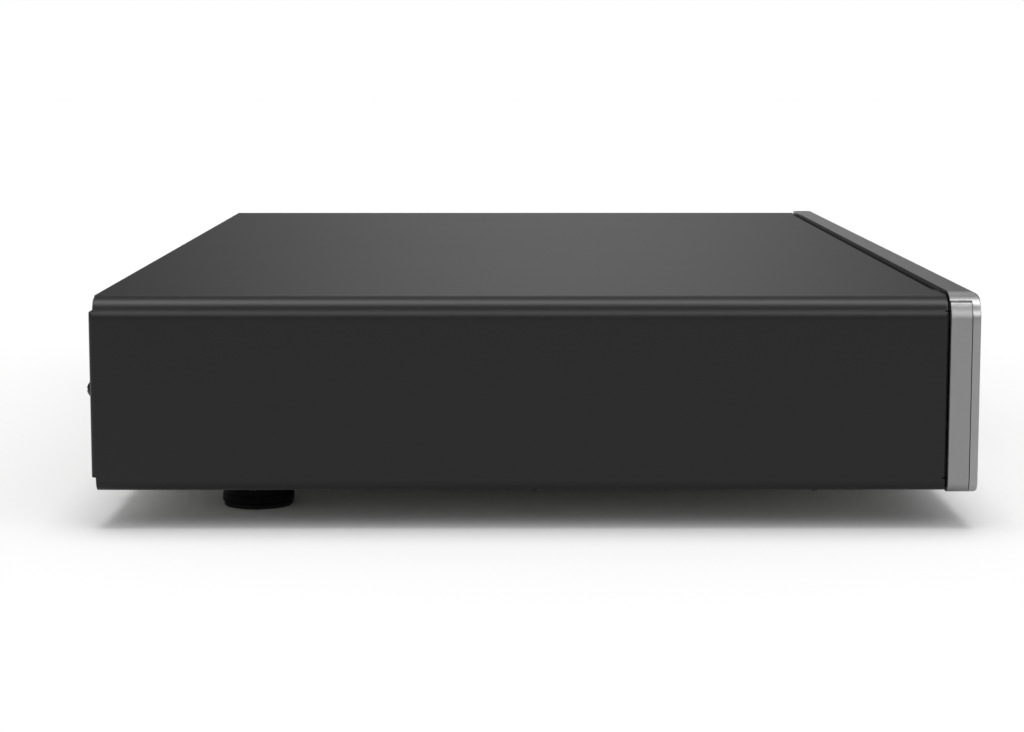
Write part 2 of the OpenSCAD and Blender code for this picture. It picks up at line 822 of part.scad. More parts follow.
module cover_sheet() {
  difference() {
    deep(cover_front, cover_rear)
      difference() {
        case_outline(cover_w, cover_z, cover_top, cover_r, skirt_r);
        case_outline(
          cover_w - 2 * cover_t, cover_z + cover_t, cover_top - cover_t,
          cover_r - cover_t, skirt_r - cover_t
        );
        translate([-cover_hw + return_w, cover_z - eps])
          square([cover_w - 2 * return_w, 2 * cover_t + eps]);
      }
    for (s = [-1, 1])
      scale([s, 1, 1]) {
        block(
          cover_hw - cover_t - eps, cover_hw + eps, cover_front - eps, side_front + edge_r,
          flange_z0 - relief, flange_z1 + relief
        );
        block(
          cover_hw - cover_t - eps, cover_hw + eps, body_d - edge_r, cover_rear + eps,
          flange_z0 - relief, flange_z1 + relief
        );
      }
    block(
      -edge_hw - relief, edge_hw + relief, cover_front - eps, cover_front + edge_r,
      cover_top - cover_t - eps, cover_top + eps
    );
  }
}

module cover_front_edge() {
  translate([-edge_hw, fascia_y + cover_front, cover_top])
    rotate([90, 0, 90])
      linear_extrude(height = 2 * edge_hw) {
        translate([edge_r, -edge_r])
          mirror([1, 0])
            bend();
        translate([edge_r, -cover_t])
          square([4, cover_t]);
        translate([0, -edge_r - front_edge_h])
          square([cover_t, front_edge_h]);
      }
}

module top_cover() {
  color("dimgray")
    difference() {
      union() {
        cover_sheet();
        cover_front_edge();
        for (s = [0, 1])
          mirror([s, 0, 0])
            translate([0, fascia_y, flange_z0])
              linear_extrude(height = flange_z1 - flange_z0)
                side_ends();
      }
      for (s = [-1, 1]) {
        rod(s * cover_screw_x, cover_screw_z, rear_out - eps, body_d + eps, hole_r);
        for (d = base_screw_d)
          post(s * base_screw_x, d, cover_z - eps, base_z + eps, hole_r);
      }
    }
}

module slot(x, d, l, w, z0, z1) {
  block(x - w / 2, x + w / 2, d - l / 2, d + l / 2, z0, z1);
  post(x, d - l / 2, z0, z1, w / 2);
  post(x, d + l / 2, z0, z1, w / 2);
}

module base_plate() {
  color("silver")
    difference() {
      union() {
        block(-base_hw, base_hw, carrier_back, rear_in, base_z, base_top);
        block(-front_hw, front_hw, carrier_back, carrier_back + base_t, base_z, base_z + base_front_h);
        block(
          -base_hw + 4, base_hw - 4, rear_in - base_t, rear_in, base_z, base_z + base_rear_h
        );
      }
      for (p = feet_points)
        post(p[0], p[1], base_z - eps, base_top + eps, hole_r);
      for (s = [-1, 1])
        for (d = base_screw_d)
          post(s * base_screw_x, d, base_z - eps, base_top + eps, hole_r);
      for (p = spacer_points)
        post(p[0], p[1], base_z - eps, base_top + eps, hole_r);
      for (x = carrier_screw_x)
        rod(x, carrier_screw_z, carrier_back - eps, carrier_back + base_t + eps, hole_r);
      for (p = boss_points)
        if (p[1] < mid_z)
          rod(
            p[0], p[1], carrier_back - eps, carrier_back + base_t + eps, small_head_r + 0.5
          );
      for (x = rear_screw_x)
        rod(x, rear_screw_z, rear_in - base_t - eps, rear_in + eps, hole_r);
      for (s = [-1, 1])
        for (i = [0 : 7])
          slot(
            s * (base_vent_x + base_vent_pitch * i), base_vent_d, base_vent_l, base_vent_w,
            base_z - eps, base_top + eps
          );
    }
}

module rear_panel() {
  color("dimgray")
    difference() {
      deep(rear_in, rear_out)
        difference() {
          case_outline(
            cover_w - 2 * cover_t - 2 * gap, base_z + gap, cover_top - cover_t - gap,
            cover_r - cover_t, skirt_r - cover_t
          );
          translate([inlet_x, inlet_z])
            square([inlet_body_w + 2 * gap, inlet_body_h + 2 * gap], center = true);
          translate([switch_x, switch_z])
            square([switch_cave_w + 2 + 2 * gap, switch_cave_h + 2 + 2 * gap], center = true);
          translate([net_x, board_top + net_h / 2])
            square([net_w + 2 * gap, net_h + 2 * gap], center = true);
          translate([rear_usb_x, rear_usb_z])
            square([usb_w + 2 * usb_t + 2 * gap, usb_h + 2 * usb_t + 2 * gap], center = true);
          translate([optical_x, optical_z])
            square([optical_w + 2 * gap, optical_w + 2 * gap], center = true);
          for (i = [0 : 15])
            translate([far_aerial_x + vent_pitch * i, cover_top - vent_drop])
              round_rect(vent_w, vent_h, vent_w / 2 - 0.1);
        }
      for (x = [coax_x, right_x, left_x])
        rod(x, phono_axis, rear_in - eps, rear_out + eps, barrel_r + 0.85);
      for (x = aerial_x)
        rod(x, aerial_z, rear_in - eps, rear_out + eps, aerial_r + 0.2);
      for (s = [-1, 1])
        rod(s * cover_screw_x, cover_screw_z, rear_in - eps, rear_out + eps, hole_r);
      for (x = rear_screw_x)
        rod(x, rear_screw_z, rear_in - eps, rear_out + eps, hole_r);
    }
}

module front_fascia() {
  color("gainsboro")
    difference() {
      union() {
        deep(0, fascia_t)
          case_outline(panel_w, panel_z, panel_top, panel_r, panel_low_r);
        deep(0, panel_d)
          intersection() {
            case_outline(panel_w, panel_z, panel_top, panel_r, panel_low_r);
            translate([-panel_w / 2 - eps, panel_top - lip_t])
              square([panel_w + 2 * eps, lip_t + eps]);
          }
      }
      deep(-eps, fascia_t + eps) {
        translate([0, mid_z])
          round_rect(window_w, window_h, window_r);
        for (x = [-button_x, button_x])
          for (z = button_rows)
            translate([x, z])
              round_rect(
                button_w + 2 * button_gap, button_h + 2 * button_gap,
                button_h / 2 + button_gap - 0.05
              );
        translate([front_usb_x, mid_z])
          square([usb_w + 2 * usb_t + 2 * gap, usb_h + 2 * usb_t + 2 * gap], center = true);
      }
      rod(standby_x, mid_z, -eps, fascia_t + eps, standby_r + button_gap);
      rod(standby_x, mid_z - light_drop, -eps, fascia_t + eps, light_r + 0.1);
      rod(knob_x, mid_z, -eps, fascia_t + eps, shaft_r + 0.6);
      for (p = boss_points)
        rod(p[0], p[1], fascia_t - 1.6, fascia_t + eps, small_hole_r);
    }
}

module fascia_frame() {
  color("silver")
    difference() {
      union() {
        deep(frame_front, frame_back)
          difference() {
            intersection() {
              case_outline(panel_w, panel_z, panel_top, panel_r, panel_low_r);
              translate([-panel_w / 2 - eps, panel_z - eps])
                square([panel_w + 2 * eps, frame_top - panel_z + eps]);
            }
            translate([-panel_w / 2 + rim_t, panel_z + rim_t])
              square([panel_w - 2 * rim_t, frame_top - panel_z - 2 * rim_t]);
          }
        for (p = boss_points)
          rod(p[0], p[1], fascia_t, frame_back, boss_r);
      }
      for (p = boss_points)
        rod(p[0], p[1], fascia_t - eps, frame_back + eps, small_hole_r);
    }
}

module front_carrier() {
  color("black")
    difference() {
      union() {
        block(-front_hw, front_hw, frame_back, carrier_back, cover_z, frame_top - 1);
        translate([-cover_hw + 2, fascia_y, 0])
          rotate([90, 0, 90])
            linear_extrude(height = cover_w - 4)
              polygon([
                [frame_back, panel_z + 0.2], [carrier_back, cover_z + 0.5],
                [carrier_back, cover_z + 1], [frame_back, cover_z + 1]
              ]);
      }
      block(
        knob_x - encoder_w / 2 - gap, knob_x + encoder_w / 2 + gap, frame_back - eps,
        carrier_back + eps, mid_z - encoder_w / 2 - gap, mid_z + encoder_w / 2 + gap
      );
      block(
        front_usb_x - usb_w / 2 - 1.2, front_usb_x + usb_w / 2 + 1.2, frame_back - eps,
        carrier_back + eps, mid_z - usb_h / 2 - 1.2, mid_z + usb_h / 2 + 1.2
      );
      block(
        ribbon_x - header_hw - gap, ribbon_x + header_hw + gap, frame_back - eps,
        carrier_back + eps, ribbon_z - header_h / 2 - gap, ribbon_z + header_h / 2 + gap
      );
      for (p = boss_points)
        rod(p[0], p[1], frame_back - eps, carrier_back + eps, small_hole_r);
      for (p = panel_screw_points)
        rod(p[0], p[1], frame_back - eps, carrier_back + eps, small_hole_r);
      for (x = carrier_screw_x)
        rod(x, carrier_screw_z, frame_back - eps, carrier_back + eps, hole_r);
    }
}

// One foot: a round moulding with a sunk seat for its screw
module foot(p) {
  color("black")
    difference() {
      post(p[0], p[1], pad_t, base_z, foot_r);
      post(p[0], p[1], pad_t - eps, foot_seat, head_r + 1.5);
      post(p[0], p[1], pad_t, base_z + eps, hole_r);
    }
}

module foot_front_left() {
  foot(feet_points[0]);
}

module foot_front_right() {
  foot(feet_points[1]);
}

module foot_rear_left() {
  foot(feet_points[2]);
}

module foot_rear_right() {
  foot(feet_points[3]);
}

module foot_pads() {
  color("black")
    for (p = feet_points)
      difference() {
        post(p[0], p[1], 0, pad_t, foot_r - 0.5);
        post(p[0], p[1], -eps, pad_t + eps, pad_in_r);
      }
}

module foot_screws() {
  color("gray")
    for (p = feet_points)
      screw_under(p[0], p[1], foot_seat, foot_web + base_t + 1);
}

module cover_rear_screws() {
  color("black")
    for (s = [-1, 1])
      screw_back(s * cover_screw_x, cover_screw_z, body_d, 6);
}

module cover_base_screws() {
  color("black")
    for (s = [-1, 1])
      for (d = base_screw_d)
        screw_under(s * base_screw_x, d, cover_z, cover_t + base_t + 3);
}

module rear_panel_screws() {
  color("black")
    for (x = rear_screw_x)
      screw_back(x, rear_screw_z, rear_out, 5);
}

module carrier_screws() {
  color("gray")
    for (x = carrier_screw_x)
      screw_back(x, carrier_screw_z, carrier_back + base_t, base_t + carrier_t + 1);
}

module fascia_screws() {
  color("gray")
    for (p = boss_points)
      small_screw_back(p[0], p[1], carrier_back, carrier_back - fascia_t + 1.2);
}

module display_window() {
  color("black")
    union() {
      deep(window_back, fascia_t + window_edge_t / 2)
        translate([0, mid_z])
          round_rect(window_w - 0.4, window_h - 0.4, window_r - 0.2);
      deep(fascia_t, fascia_t + window_edge_t)
        translate([0, mid_z])
          round_rect(window_w + 2 * window_edge, window_h + 2 * window_edge, window_r);
    }
}

module display_module() {
  color("darkslategray")
    block(
      -window_w / 2 + 1, window_w / 2 - 1, fascia_t + window_edge_t, panel_board_d0,
      mid_z - window_h / 2 - 1, mid_z + window_h / 2 + 1
    );
}

module front_board() {
  color("darkgreen")
    difference() {
      union() {
        block(
          -panel_board_hw, panel_board_hw, panel_board_d0, panel_board_d1, panel_board_z0,
          panel_board_z1
        );
        rod(
          standby_x, mid_z - light_drop, panel_board_d0 - 1.5, panel_board_d0 + 0.5, light_r
        );
        block(
          ribbon_x - header_hw, ribbon_x + header_hw, panel_board_d1 - 0.5,
          panel_board_d1 + header_d, ribbon_z - header_h / 2, ribbon_z + header_h / 2
        );
      }
      rod(knob_x, mid_z, panel_board_d0 - eps, panel_board_d1 + eps, shaft_r + 0.8);
      block(
        front_usb_x - usb_w / 2 - usb_t - gap, front_usb_x + usb_w / 2 + usb_t + gap,
        panel_board_d0 - eps, panel_board_d1 + eps, mid_z - usb_h / 2 - usb_t - gap,
        mid_z + usb_h / 2 + usb_t + gap
      );
      for (p = panel_screw_points)
        rod(p[0], p[1], panel_board_d0 - eps, panel_board_d1 + eps, small_hole_r);
    }
}

// One pill button with its hidden lip and its stem
module control_button(x, z) {
  color("silver")
    union() {
      deep(-button_out, lip_front + 0.5)
        translate([x, z])
          round_rect(button_w, button_h, button_h / 2 - 0.05);
      deep(lip_front, lip_front + 1)
        translate([x, z])
          round_rect(
            button_w + 2 * button_gap + 2 * button_lip, button_h + 2 * button_gap + 2 * button_lip,
            button_h / 2
          );
      rod(x, z, lip_front + 0.5, stem_end, stem_r);
    }
}

module standby_button() {
  color("silver")
    union() {
      rod(standby_x, mid_z, -button_out, lip_front + 0.5, standby_r);
      rod(standby_x, mid_z, lip_front, lip_front + 1, standby_r + button_gap + button_lip);
      rod(standby_x, mid_z, lip_front + 0.5, stem_end, stem_r);
    }
}

module status_light() {
  color("white")
    union() {
      rod(standby_x, mid_z - light_drop, 0.1, panel_board_d0 - 1.7, light_r);
      rod(standby_x, mid_z - light_drop, fascia_t, fascia_t + 1, light_r + 0.8);
    }
}

module button_left_top() {
  control_button(-button_x, button_rows[0]);
}

module button_left_mid() {
  control_button(-button_x, button_rows[1]);
}

module button_left_low() {
  control_button(-button_x, button_rows[2]);
}

module button_right_top() {
  control_button(button_x, button_rows[0]);
}

module button_right_mid() {
  control_button(button_x, button_rows[1]);
}

module button_right_low() {
  control_button(button_x, button_rows[2]);
}

module tact_switch(x, z) {
  difference() {
    block(
      x - tact_w / 2, x + tact_w / 2, switch_front, panel_board_d0, z - tact_w / 2, z + tact_w / 2
    );
    rod(x, z, switch_front - eps, stem_end + button_travel + 0.5, stem_r + 0.3);
  }
}

module tact_switches() {
  color("dimgray") {
    tact_switch(standby_x, mid_z);
    for (x = [-button_x, button_x])
      for (z = button_rows)
        tact_switch(x, z);
  }
}

// Knob drawn along its own axis, rear face at zero
module selector_knob() {
  color("silver")
    translate([knob_x, fascia_y - knob_gap, mid_z])
      rotate([90, 0, 0])
        difference() {
          rotate_extrude()
            polygon([
              [0, 2], [hub_r - 1.5, 2], [hub_r - 1.5, 0.5], [hub_r, 0.5], [hub_r, knob_ring],
              [knob_r - knob_wall, knob_ring], [knob_r - knob_wall, 0], [knob_r, 0],
              [knob_r, knob_out - knob_gap - 1],
              [knob_r - 1, knob_out - knob_gap], [0, knob_out - knob_gap]
            ]);
          intersection() {
            translate([0, 0, -eps])
              cylinder(r = shaft_r + shaft_fit, h = shaft_in + 0.1 + eps);
            translate([-shaft_r - eps, -shaft_r - eps, -2 * eps])
              cube([2 * shaft_r + 2 * eps, 2 * shaft_r + eps - 0.95, shaft_in + 4 * eps]);
          }
          translate([0, dimple_out, knob_out - knob_gap + dimple_r - 1.2])
            sphere(r = dimple_r);
        }
}

module encoder_shaft() {
  color("gainsboro")
    union() {
      difference() {
        rod(knob_x, mid_z, -knob_gap - shaft_in, frame_back + 2, shaft_r);
        block(
          knob_x - shaft_r - eps, knob_x + shaft_r + eps, -knob_gap - shaft_in - eps, -knob_gap,
          mid_z + shaft_r - 1, mid_z + shaft_r + eps
        );
      }
      rod(knob_x, mid_z, frame_back + 1.3, frame_back + 2, shaft_r + 0.4);
    }
}

module encoder_plunger() {
  color("black")
    rod(knob_x, mid_z, frame_back + 2, frame_back + 4, shaft_r + 0.3);
}

module encoder_body() {
  color("gray")
    difference() {
      union() {
        block(
          knob_x - encoder_w / 2, knob_x + encoder_w / 2, frame_back, frame_back + encoder_d,
          mid_z - encoder_w / 2, mid_z + encoder_w / 2
        );
        rod(knob_x, mid_z, frame_back - board_t - 3.6, frame_back + 0.5, shaft_r + 0.6);
      }
      rod(knob_x, mid_z, frame_back - board_t - 3.6 - eps, frame_back + 1, shaft_r + shaft_fit);
      rod(knob_x, mid_z, frame_back + 1, frame_back + 4 + knob_travel + 0.5, shaft_r + 0.7);
    }
}

module encoder_nut() {
  color("silver")
    difference() {
      translate([knob_x, fascia_y + panel_board_d0, mid_z])
        rotate([90, 0, 0])
          cylinder(r = nut_r, h = nut_h, $fn = 6);
      rod(knob_x, mid_z, panel_board_d0 - nut_h - eps, panel_board_d0 + eps, shaft_r + 0.65);
    }
}

module usb_shell() {
  difference() {
    round_rect(usb_w + 2 * usb_t, usb_h + 2 * usb_t, 0.6);
    square([usb_w, usb_h], center = true);
  }
}

module usb_sockets() {
  color("silver") {
    deep(0.3, 0.3 + usb_l)
      translate([front_usb_x, mid_z])
        usb_shell();
    deep(socket_face - usb_l, socket_face)
      translate([rear_usb_x, rear_usb_z])
        usb_shell();
  }
}

// Inner part of a socket: a rear block and the contact tongue
module usb_tongue(x, z, front, back, tip) {
  h = usb_h / 2 - 0.05;
  block(x - usb_w / 2 + 0.05, x + usb_w / 2 - 0.05, min(front, back), max(front, back), z - h, z + h);
  block(
    x - tongue_w / 2, x + tongue_w / 2, min(front, tip), max(front, tip), z + 0.1,
    z + 0.1 + tongue_t
  );
}

module usb_tongues() {
  color("white") {
    usb_tongue(front_usb_x, mid_z, 0.3 + usb_l, usb_l - 3, 1.3);
    usb_tongue(
      rear_usb_x, rear_usb_z, socket_face - usb_l, socket_face - usb_l + 3.3, socket_face - 1
    );
  }
}

module mains_inlet() {
  color("black")
    difference() {
      union() {
        deep(rear_out, rear_out + inlet_t)
          translate([inlet_x, inlet_z])
            round_rect(inlet_w, inlet_h, 2);
        deep(inlet_back, rear_out + inlet_t / 2)
          translate([inlet_x, inlet_z])
            square([inlet_body_w, inlet_body_h], center = true);
      }
      deep(inlet_floor, rear_out + inlet_t + eps)
        translate([inlet_x, inlet_z])
          polygon([
            [-cavity_w / 2, -cavity_h / 2], [cavity_w / 2, -cavity_h / 2],
            [cavity_w / 2, cavity_h / 2 - cavity_cut], [cavity_w / 2 - cavity_cut, cavity_h / 2],
            [-cavity_w / 2 + cavity_cut, cavity_h / 2], [-cavity_w / 2, cavity_h / 2 - cavity_cut]
          ]);
      for (p = pin_points)
        block(
          inlet_x + p[0] - pin_t / 2 - 0.05, inlet_x + p[0] + pin_t / 2 + 0.05,
          inlet_back - eps, inlet_floor + eps,
          inlet_z + p[1] - pin_w / 2 - 0.05, inlet_z + p[1] + pin_w / 2 + 0.05
        );
    }
}

module inlet_pins() {
  color("gainsboro")
    for (p = pin_points)
      block(
        inlet_x + p[0] - pin_t / 2, inlet_x + p[0] + pin_t / 2, pin_tail, rear_out - 1,
        inlet_z + p[1] - pin_w / 2, inlet_z + p[1] + pin_w / 2
      );
}

module power_switch() {
  color("black")
    difference() {
      union() {
        deep(rear_out, rear_out + switch_rim_t)
          translate([switch_x, switch_z])
            round_rect(switch_w, switch_h, 1.5);
        deep(switch_back, rear_out + switch_rim_t / 2)
          translate([switch_x, switch_z])
            square([switch_cave_w + 2, switch_cave_h + 2], center = true);
        for (x = [-rocker_w / 3, rocker_w / 3])
          for (z = [-tab_w, tab_w])
            block(
              switch_x + x - 0.5, switch_x + x + 0.5, tab_end, switch_back + 0.5,
              switch_z + z - tab_w / 2, switch_z + z + tab_w / 2
            );
      }
      deep(switch_floor, rear_out + switch_rim_t + eps)
        translate([switch_x, switch_z])
          square([switch_cave_w, switch_cave_h], center = true);
      translate([switch_x - rocker_w / 2 - 1, fascia_y + pivot_d, switch_z])
        rotate([0, 90, 0])
          cylinder(r = 1.3, h = rocker_w + 2);
    }
}

// The rocker rests with its lower half out
module power_rocker() {
  color("black")
    translate([switch_x, fascia_y + pivot_d, switch_z])
      rotate([rocker_tilt, 0, 0])
        union() {
          translate([-rocker_w / 2, 0, 0])
            rotate([90, 0, 90])
              linear_extrude(height = rocker_w)
                polygon([
                  [-1.8, -3], [0.5, -rocker_l / 2], [rocker_h, -rocker_l / 2],
                  [rocker_h - rocker_dip, 0], [rocker_h, rocker_l / 2], [0.5, rocker_l / 2], [-1.8, 3]
                ]);
          translate([-rocker_w / 2 - 0.8, 0, 0])
            rotate([0, 90, 0])
              cylinder(r = 1.2, h = rocker_w + 1.6);
        }
}

module phono_blocks() {
  color("black")
    for (x = [coax_x, right_x, left_x])
      difference() {
        block(
          x - phono_w / 2, x + phono_w / 2, rear_in - phono_d, rear_in, board_top,
          board_top + phono_h
        );
        rod(x, phono_axis, barrel_seat, rear_in + eps, barrel_r + 0.05);
      }
}

module phono_barrels() {
  color("gold")
    for (x = [coax_x, right_x, left_x])
      difference() {
        rod(x, phono_axis, barrel_seat, socket_end, barrel_r);
        rod(x, phono_axis, barrel_seat - eps, socket_end + eps, barrel_r - barrel_t);
      }
}

module phono_insert(x) {
  difference() {
    rod(x, phono_axis, barrel_seat, socket_end - 1.4, insert_r);
    rod(x, phono_axis, barrel_seat - eps, socket_end, contact_r);
  }
}

module phono_insert_white() {
  color("white")
    phono_insert(left_x);
}

module phono_insert_red() {
  color("red")
    phono_insert(right_x);
}

module phono_insert_black() {
  color("black")
    phono_insert(coax_x);
}

module optical_socket() {
  color("black")
    difference() {
      block(
        optical_x - optical_w / 2, optical_x + optical_w / 2, socket_face - optical_d - 3.5,
        optical_face, board_top, board_top + optical_w
      );
      block(
        optical_x - optical_in / 2, optical_x + optical_in / 2, socket_face - optical_d,
        optical_face + eps, optical_z - optical_in / 2, optical_z + optical_in / 2
      );
      translate([optical_x - optical_in / 2 - 1, fascia_y + shutter_d, shutter_z])
        rotate([0, 90, 0])
          cylinder(r = 0.55, h = optical_in + 2);
    }
}

module optical_shutter() {
  color("gray")
    union() {
      block(
        optical_x - optical_in / 2 + 0.3, optical_x + optical_in / 2 - 0.3, shutter_d - 0.4,
        shutter_d + 0.4, shutter_z - optical_in + 1.3, shutter_z
      );
      translate([optical_x - optical_in / 2 - 0.8, fascia_y + shutter_d, shutter_z])
        rotate([0, 90, 0])
          cylinder(r = 0.45, h = optical_in + 1.6);
    }
}

module network_socket() {
  color("silver")
    difference() {
      block(
        net_x - net_w / 2, net_x + net_w / 2, socket_face - net_l, socket_face, board_top,
        board_top + net_h
      );
      block(
        net_x - port_w / 2, net_x + port_w / 2, socket_face - port_d, socket_face + eps,
        board_top + port_z, board_top + port_z + port_h
      );
      block(
        net_x - latch_w / 2, net_x + latch_w / 2, socket_face - port_d, socket_face + eps,
        board_top + port_z + port_h - 0.5, board_top + port_z + port_h + latch_h
      );
    }
}

module aerial_sockets() {
  color("gold")
    for (x = aerial_x)
      difference() {
        union() {
          block(
            x - aerial_w / 2, x + aerial_w / 2, rear_in - aerial_w, rear_in, board_top,
            board_top + aerial_h
          );
          rod(x, aerial_z, rear_in - 0.5, body_d + aerial_out, aerial_r);
          translate([x, fascia_y + rear_out + nut_h, aerial_z])
            rotate([90, 0, 0])
              cylinder(r = aerial_nut_r, h = nut_h, $fn = 6);
        }
        rod(x, aerial_z, body_d + aerial_out - 2, body_d + aerial_out + eps, 2.2);
      }
}

// A square chip about its middle, sunk a little into the main board
module chip(x, d, w) {
  block(x - w / 2, x + w / 2, d - w / 2, d + w / 2, board_top - 0.5, board_top + chip_h);
}

module main_board() {
  color("darkgreen")
    difference() {
      union() {
        block(main_x0, main_x1, main_d0, main_d1, board_z, board_top);
        block(
          ribbon_x - header_hw, ribbon_x + header_hw, main_d0 + 2, main_d0 + 2 + header_d,
          board_top - 0.5, board_top + header_h
        );
        block(
          main_x1 - 2 - terminal_w, main_x1 - 2, supply_d, supply_d + terminal_l,
          board_top - 0.5, board_top + terminal_h
        );
        chip(main_x1 - chip_in, main_d1 - chip_back, chip_w);
        chip(main_x1 - small_chip_in, main_d1 - chip_back, small_chip_w);
      }
      for (p = main_spacers)
        post(p[0], p[1], board_z - eps, board_top + eps, hole_r);
    }
}

module stream_module() {
  color("darkblue")
    union() {
      block(module_x0, module_x1, module_d0, module_d1, module_z, module_z + module_t);
      for (x = [module_x0 + strip_in, module_x1 - strip_in - strip_w])
        block(
          x, x + strip_w, module_mid_d - strip_l / 2, module_mid_d + strip_l / 2, board_top,
          module_z + module_t / 2
        );
    }
}

module module_shield() {
  x0 = module_mid_x - shield_w / 2;
  x1 = module_mid_x + shield_w / 2;
  d0 = module_mid_d - shield_d / 2;
  d1 = module_mid_d + shield_d / 2;
  z0 = module_z + module_t;
  color("silver")
    difference() {
      block(x0, x1, d0, d1, z0, z0 + shield_h);
      block(
        x0 + shield_t, x1 - shield_t, d0 + shield_t, d1 - shield_t, z0 - eps,
        z0 + shield_h - shield_t
      );
    }
}

module power_board() {
  color("darkolivegreen")
    difference() {
      union() {
        block(power_x0, power_x1, power_d0, power_d1, board_z, board_top);
        block(
          power_x0 + 2, power_x0 + 2 + terminal_w, supply_d, supply_d + terminal_l,
          board_top - 0.5, board_top + terminal_h
        );
        block(
          switch_x - mains_header_w / 2, switch_x + mains_header_w / 2,
          mains_header_d1 - mains_header_d, mains_header_d1, board_top - 0.5,
          board_top + mains_header_h
        );
      }
      for (p = power_spacers)
        post(p[0], p[1], board_z - eps, board_top + eps, hole_r);
    }
}

module transformer() {
  color("goldenrod") {
    block(
      core_x - core_w / 2, core_x + core_w / 2, core_mid_d - core_d / 2, core_mid_d + core_d / 2,
      board_top, board_top + core_h
    );
    block(
      core_x - winding_w / 2, core_x + winding_w / 2, core_mid_d - winding_d / 2,
      core_mid_d + winding_d / 2, board_top + winding_step, board_top + core_h - winding_step
    );
  }
}

module capacitors() {
  color("black") {
    post(power_x1 - bulk_in, power_d1 - bulk_back, board_top, board_top + bulk_h, bulk_r);
    for (p = filter_points)
      post(p[0], p[1], board_top, board_top + filter_h, filter_r);
    for (p = audio_points)
      post(p[0], p[1], board_top, board_top + audio_h, audio_r);
  }
}

module heatsink() {
  x0 = power_x0 + sink_in;
  d0 = power_d0 + sink_back;
  color("silver")
    union() {
      block(x0, x0 + 7 * fin_pitch + fin_t, d0, d0 + sink_t, board_top, board_top + sink_h);
      for (i = [0 : 7])
        block(
          x0 + fin_pitch * i, x0 + fin_pitch * i + fin_t, d0 + sink_t - 1,
          d0 + sink_t - 1 + fin_l, board_top, board_top + sink_h
        );
    }
}

module standoffs() {
  color("gold")
    for (p = spacer_points)
      difference() {
        post(p[0], p[1], base_top, board_z, spacer_r);
        post(p[0], p[1], base_top - eps, board_z + eps, hole_r - 0.1);
      }
}

module board_screws() {
  color("gainsboro") {
    for (p = spacer_points)
      translate([p[0], fascia_y + p[1], board_top])
        dome_screw(head_r, head_h, screw_r, 6);
    for (p = panel_screw_points)
      translate([p[0], fascia_y + panel_board_d0, p[1]])
        rotate([90, 0, 0])
          dome_screw(small_head_r, small_head_h, small_r, board_t + carrier_t);
  }
}

module ribbon_cable() {
  color("lightgray")
    block(
      ribbon_x - ribbon_w / 2, ribbon_x + ribbon_w / 2, panel_board_d1 + header_d, main_d0 + 2,
      ribbon_z, ribbon_z + ribbon_t
    );
}

function along(a, b, c, d, t) =
  a * pow(1 - t, 3) + 3 * b * t * pow(1 - t, 2) + 3 * c * t * t * (1 - t) + d * pow(t, 3);

function heading(a, b, c, d, t) =
  let (v = 3 * (b - a) * pow(1 - t, 2) + 6 * (c - b) * t * (1 - t) + 3 * (d - c) * t * t)
  v / norm(v);

function unit(v) = v / norm(v);

// A lead along a smooth route from a to d, with side the direction it never runs in
module lead(a, b, c, d, r, side) {
  steps = 14;
  sides = 8;
  points = [
    for (i = [0 : steps])
      let (
        t = i / steps,
        h = heading(a, b, c, d, t),
        u = unit(cross(side, h)),
        v = cross(h, u)
      )
      for (j = [0 : sides - 1])
        along(a, b, c, d, t) + r * (cos(360 * j / sides) * u + sin(360 * j / sides) * v)
  ];
  walls = [
    for (i = [0 : steps - 1])
      for (j = [0 : sides - 1])
        let (
          k = (j + 1) % sides,
          p = i * sides + j,
          q = i * sides + k
        )
        each [[p, p + sides, q + sides], [p, q + sides, q]]
  ];
  ends = [
    [for (j = [0 : sides - 1]) j],
    [for (j = [0 : sides - 1]) steps * sides + sides - 1 - j]
  ];
  polyhedron(points = points, faces = concat(walls, ends));
}

// A lead that leaves one terminal forward and comes back to another
module loop_lead(x0, d0, z0, x1, d1, z1, reach, r) {
  a = [x0, fascia_y + d0, z0];
  d = [x1, fascia_y + d1, z1];
  lead(a, a - [0, reach, 0], d - [0, reach, 0], d, r, [0, 0, 1]);
}

module internal_leads() {
  tab_x = rocker_w / 3;
  color("brown") {
    loop_lead(
      inlet_x - pin_pitch, pin_tail, inlet_z - pin_rise, switch_x + tab_x, tab_end,
      switch_z + tab_w, 18, lead_r
    );
    loop_lead(
      inlet_x + pin_pitch, pin_tail, inlet_z - pin_rise, switch_x - tab_x, tab_end,
      switch_z + tab_w, 30, lead_r
    );
    for (x = [-tab_x, tab_x]) {
      a = [switch_x + x, fascia_y + tab_end, switch_z - tab_w];
      d = [switch_x + x, fascia_y + mains_header_d1, board_top + mains_header_h / 2];
      lead(a, a - [0, 7, 0], d + [0, 7, 0], d, lead_r, [1, 0, 0]);
    }
    e = [inlet_x, fascia_y + pin_tail, inlet_z + pin_rise];
    f = [inlet_x, fascia_y + pin_tail, base_top];
    lead(e, e - [0, 12, 0], f + [0, 0, 18], f, lead_r, [1, 0, 0]);
    for (i = [0 : 3]) {
      g = [power_x0 + 2, fascia_y + supply_d + 3 + lead_pitch * i, board_top + terminal_h / 2];
      h = [main_x1 - 2, fascia_y + supply_d + 3 + lead_pitch * i, board_top + terminal_h / 2];
      lead(g, g - [6, 0, 0], h + [6, 0, 0], h, wire_r, [0, 1, 0]);
    }
  }
}

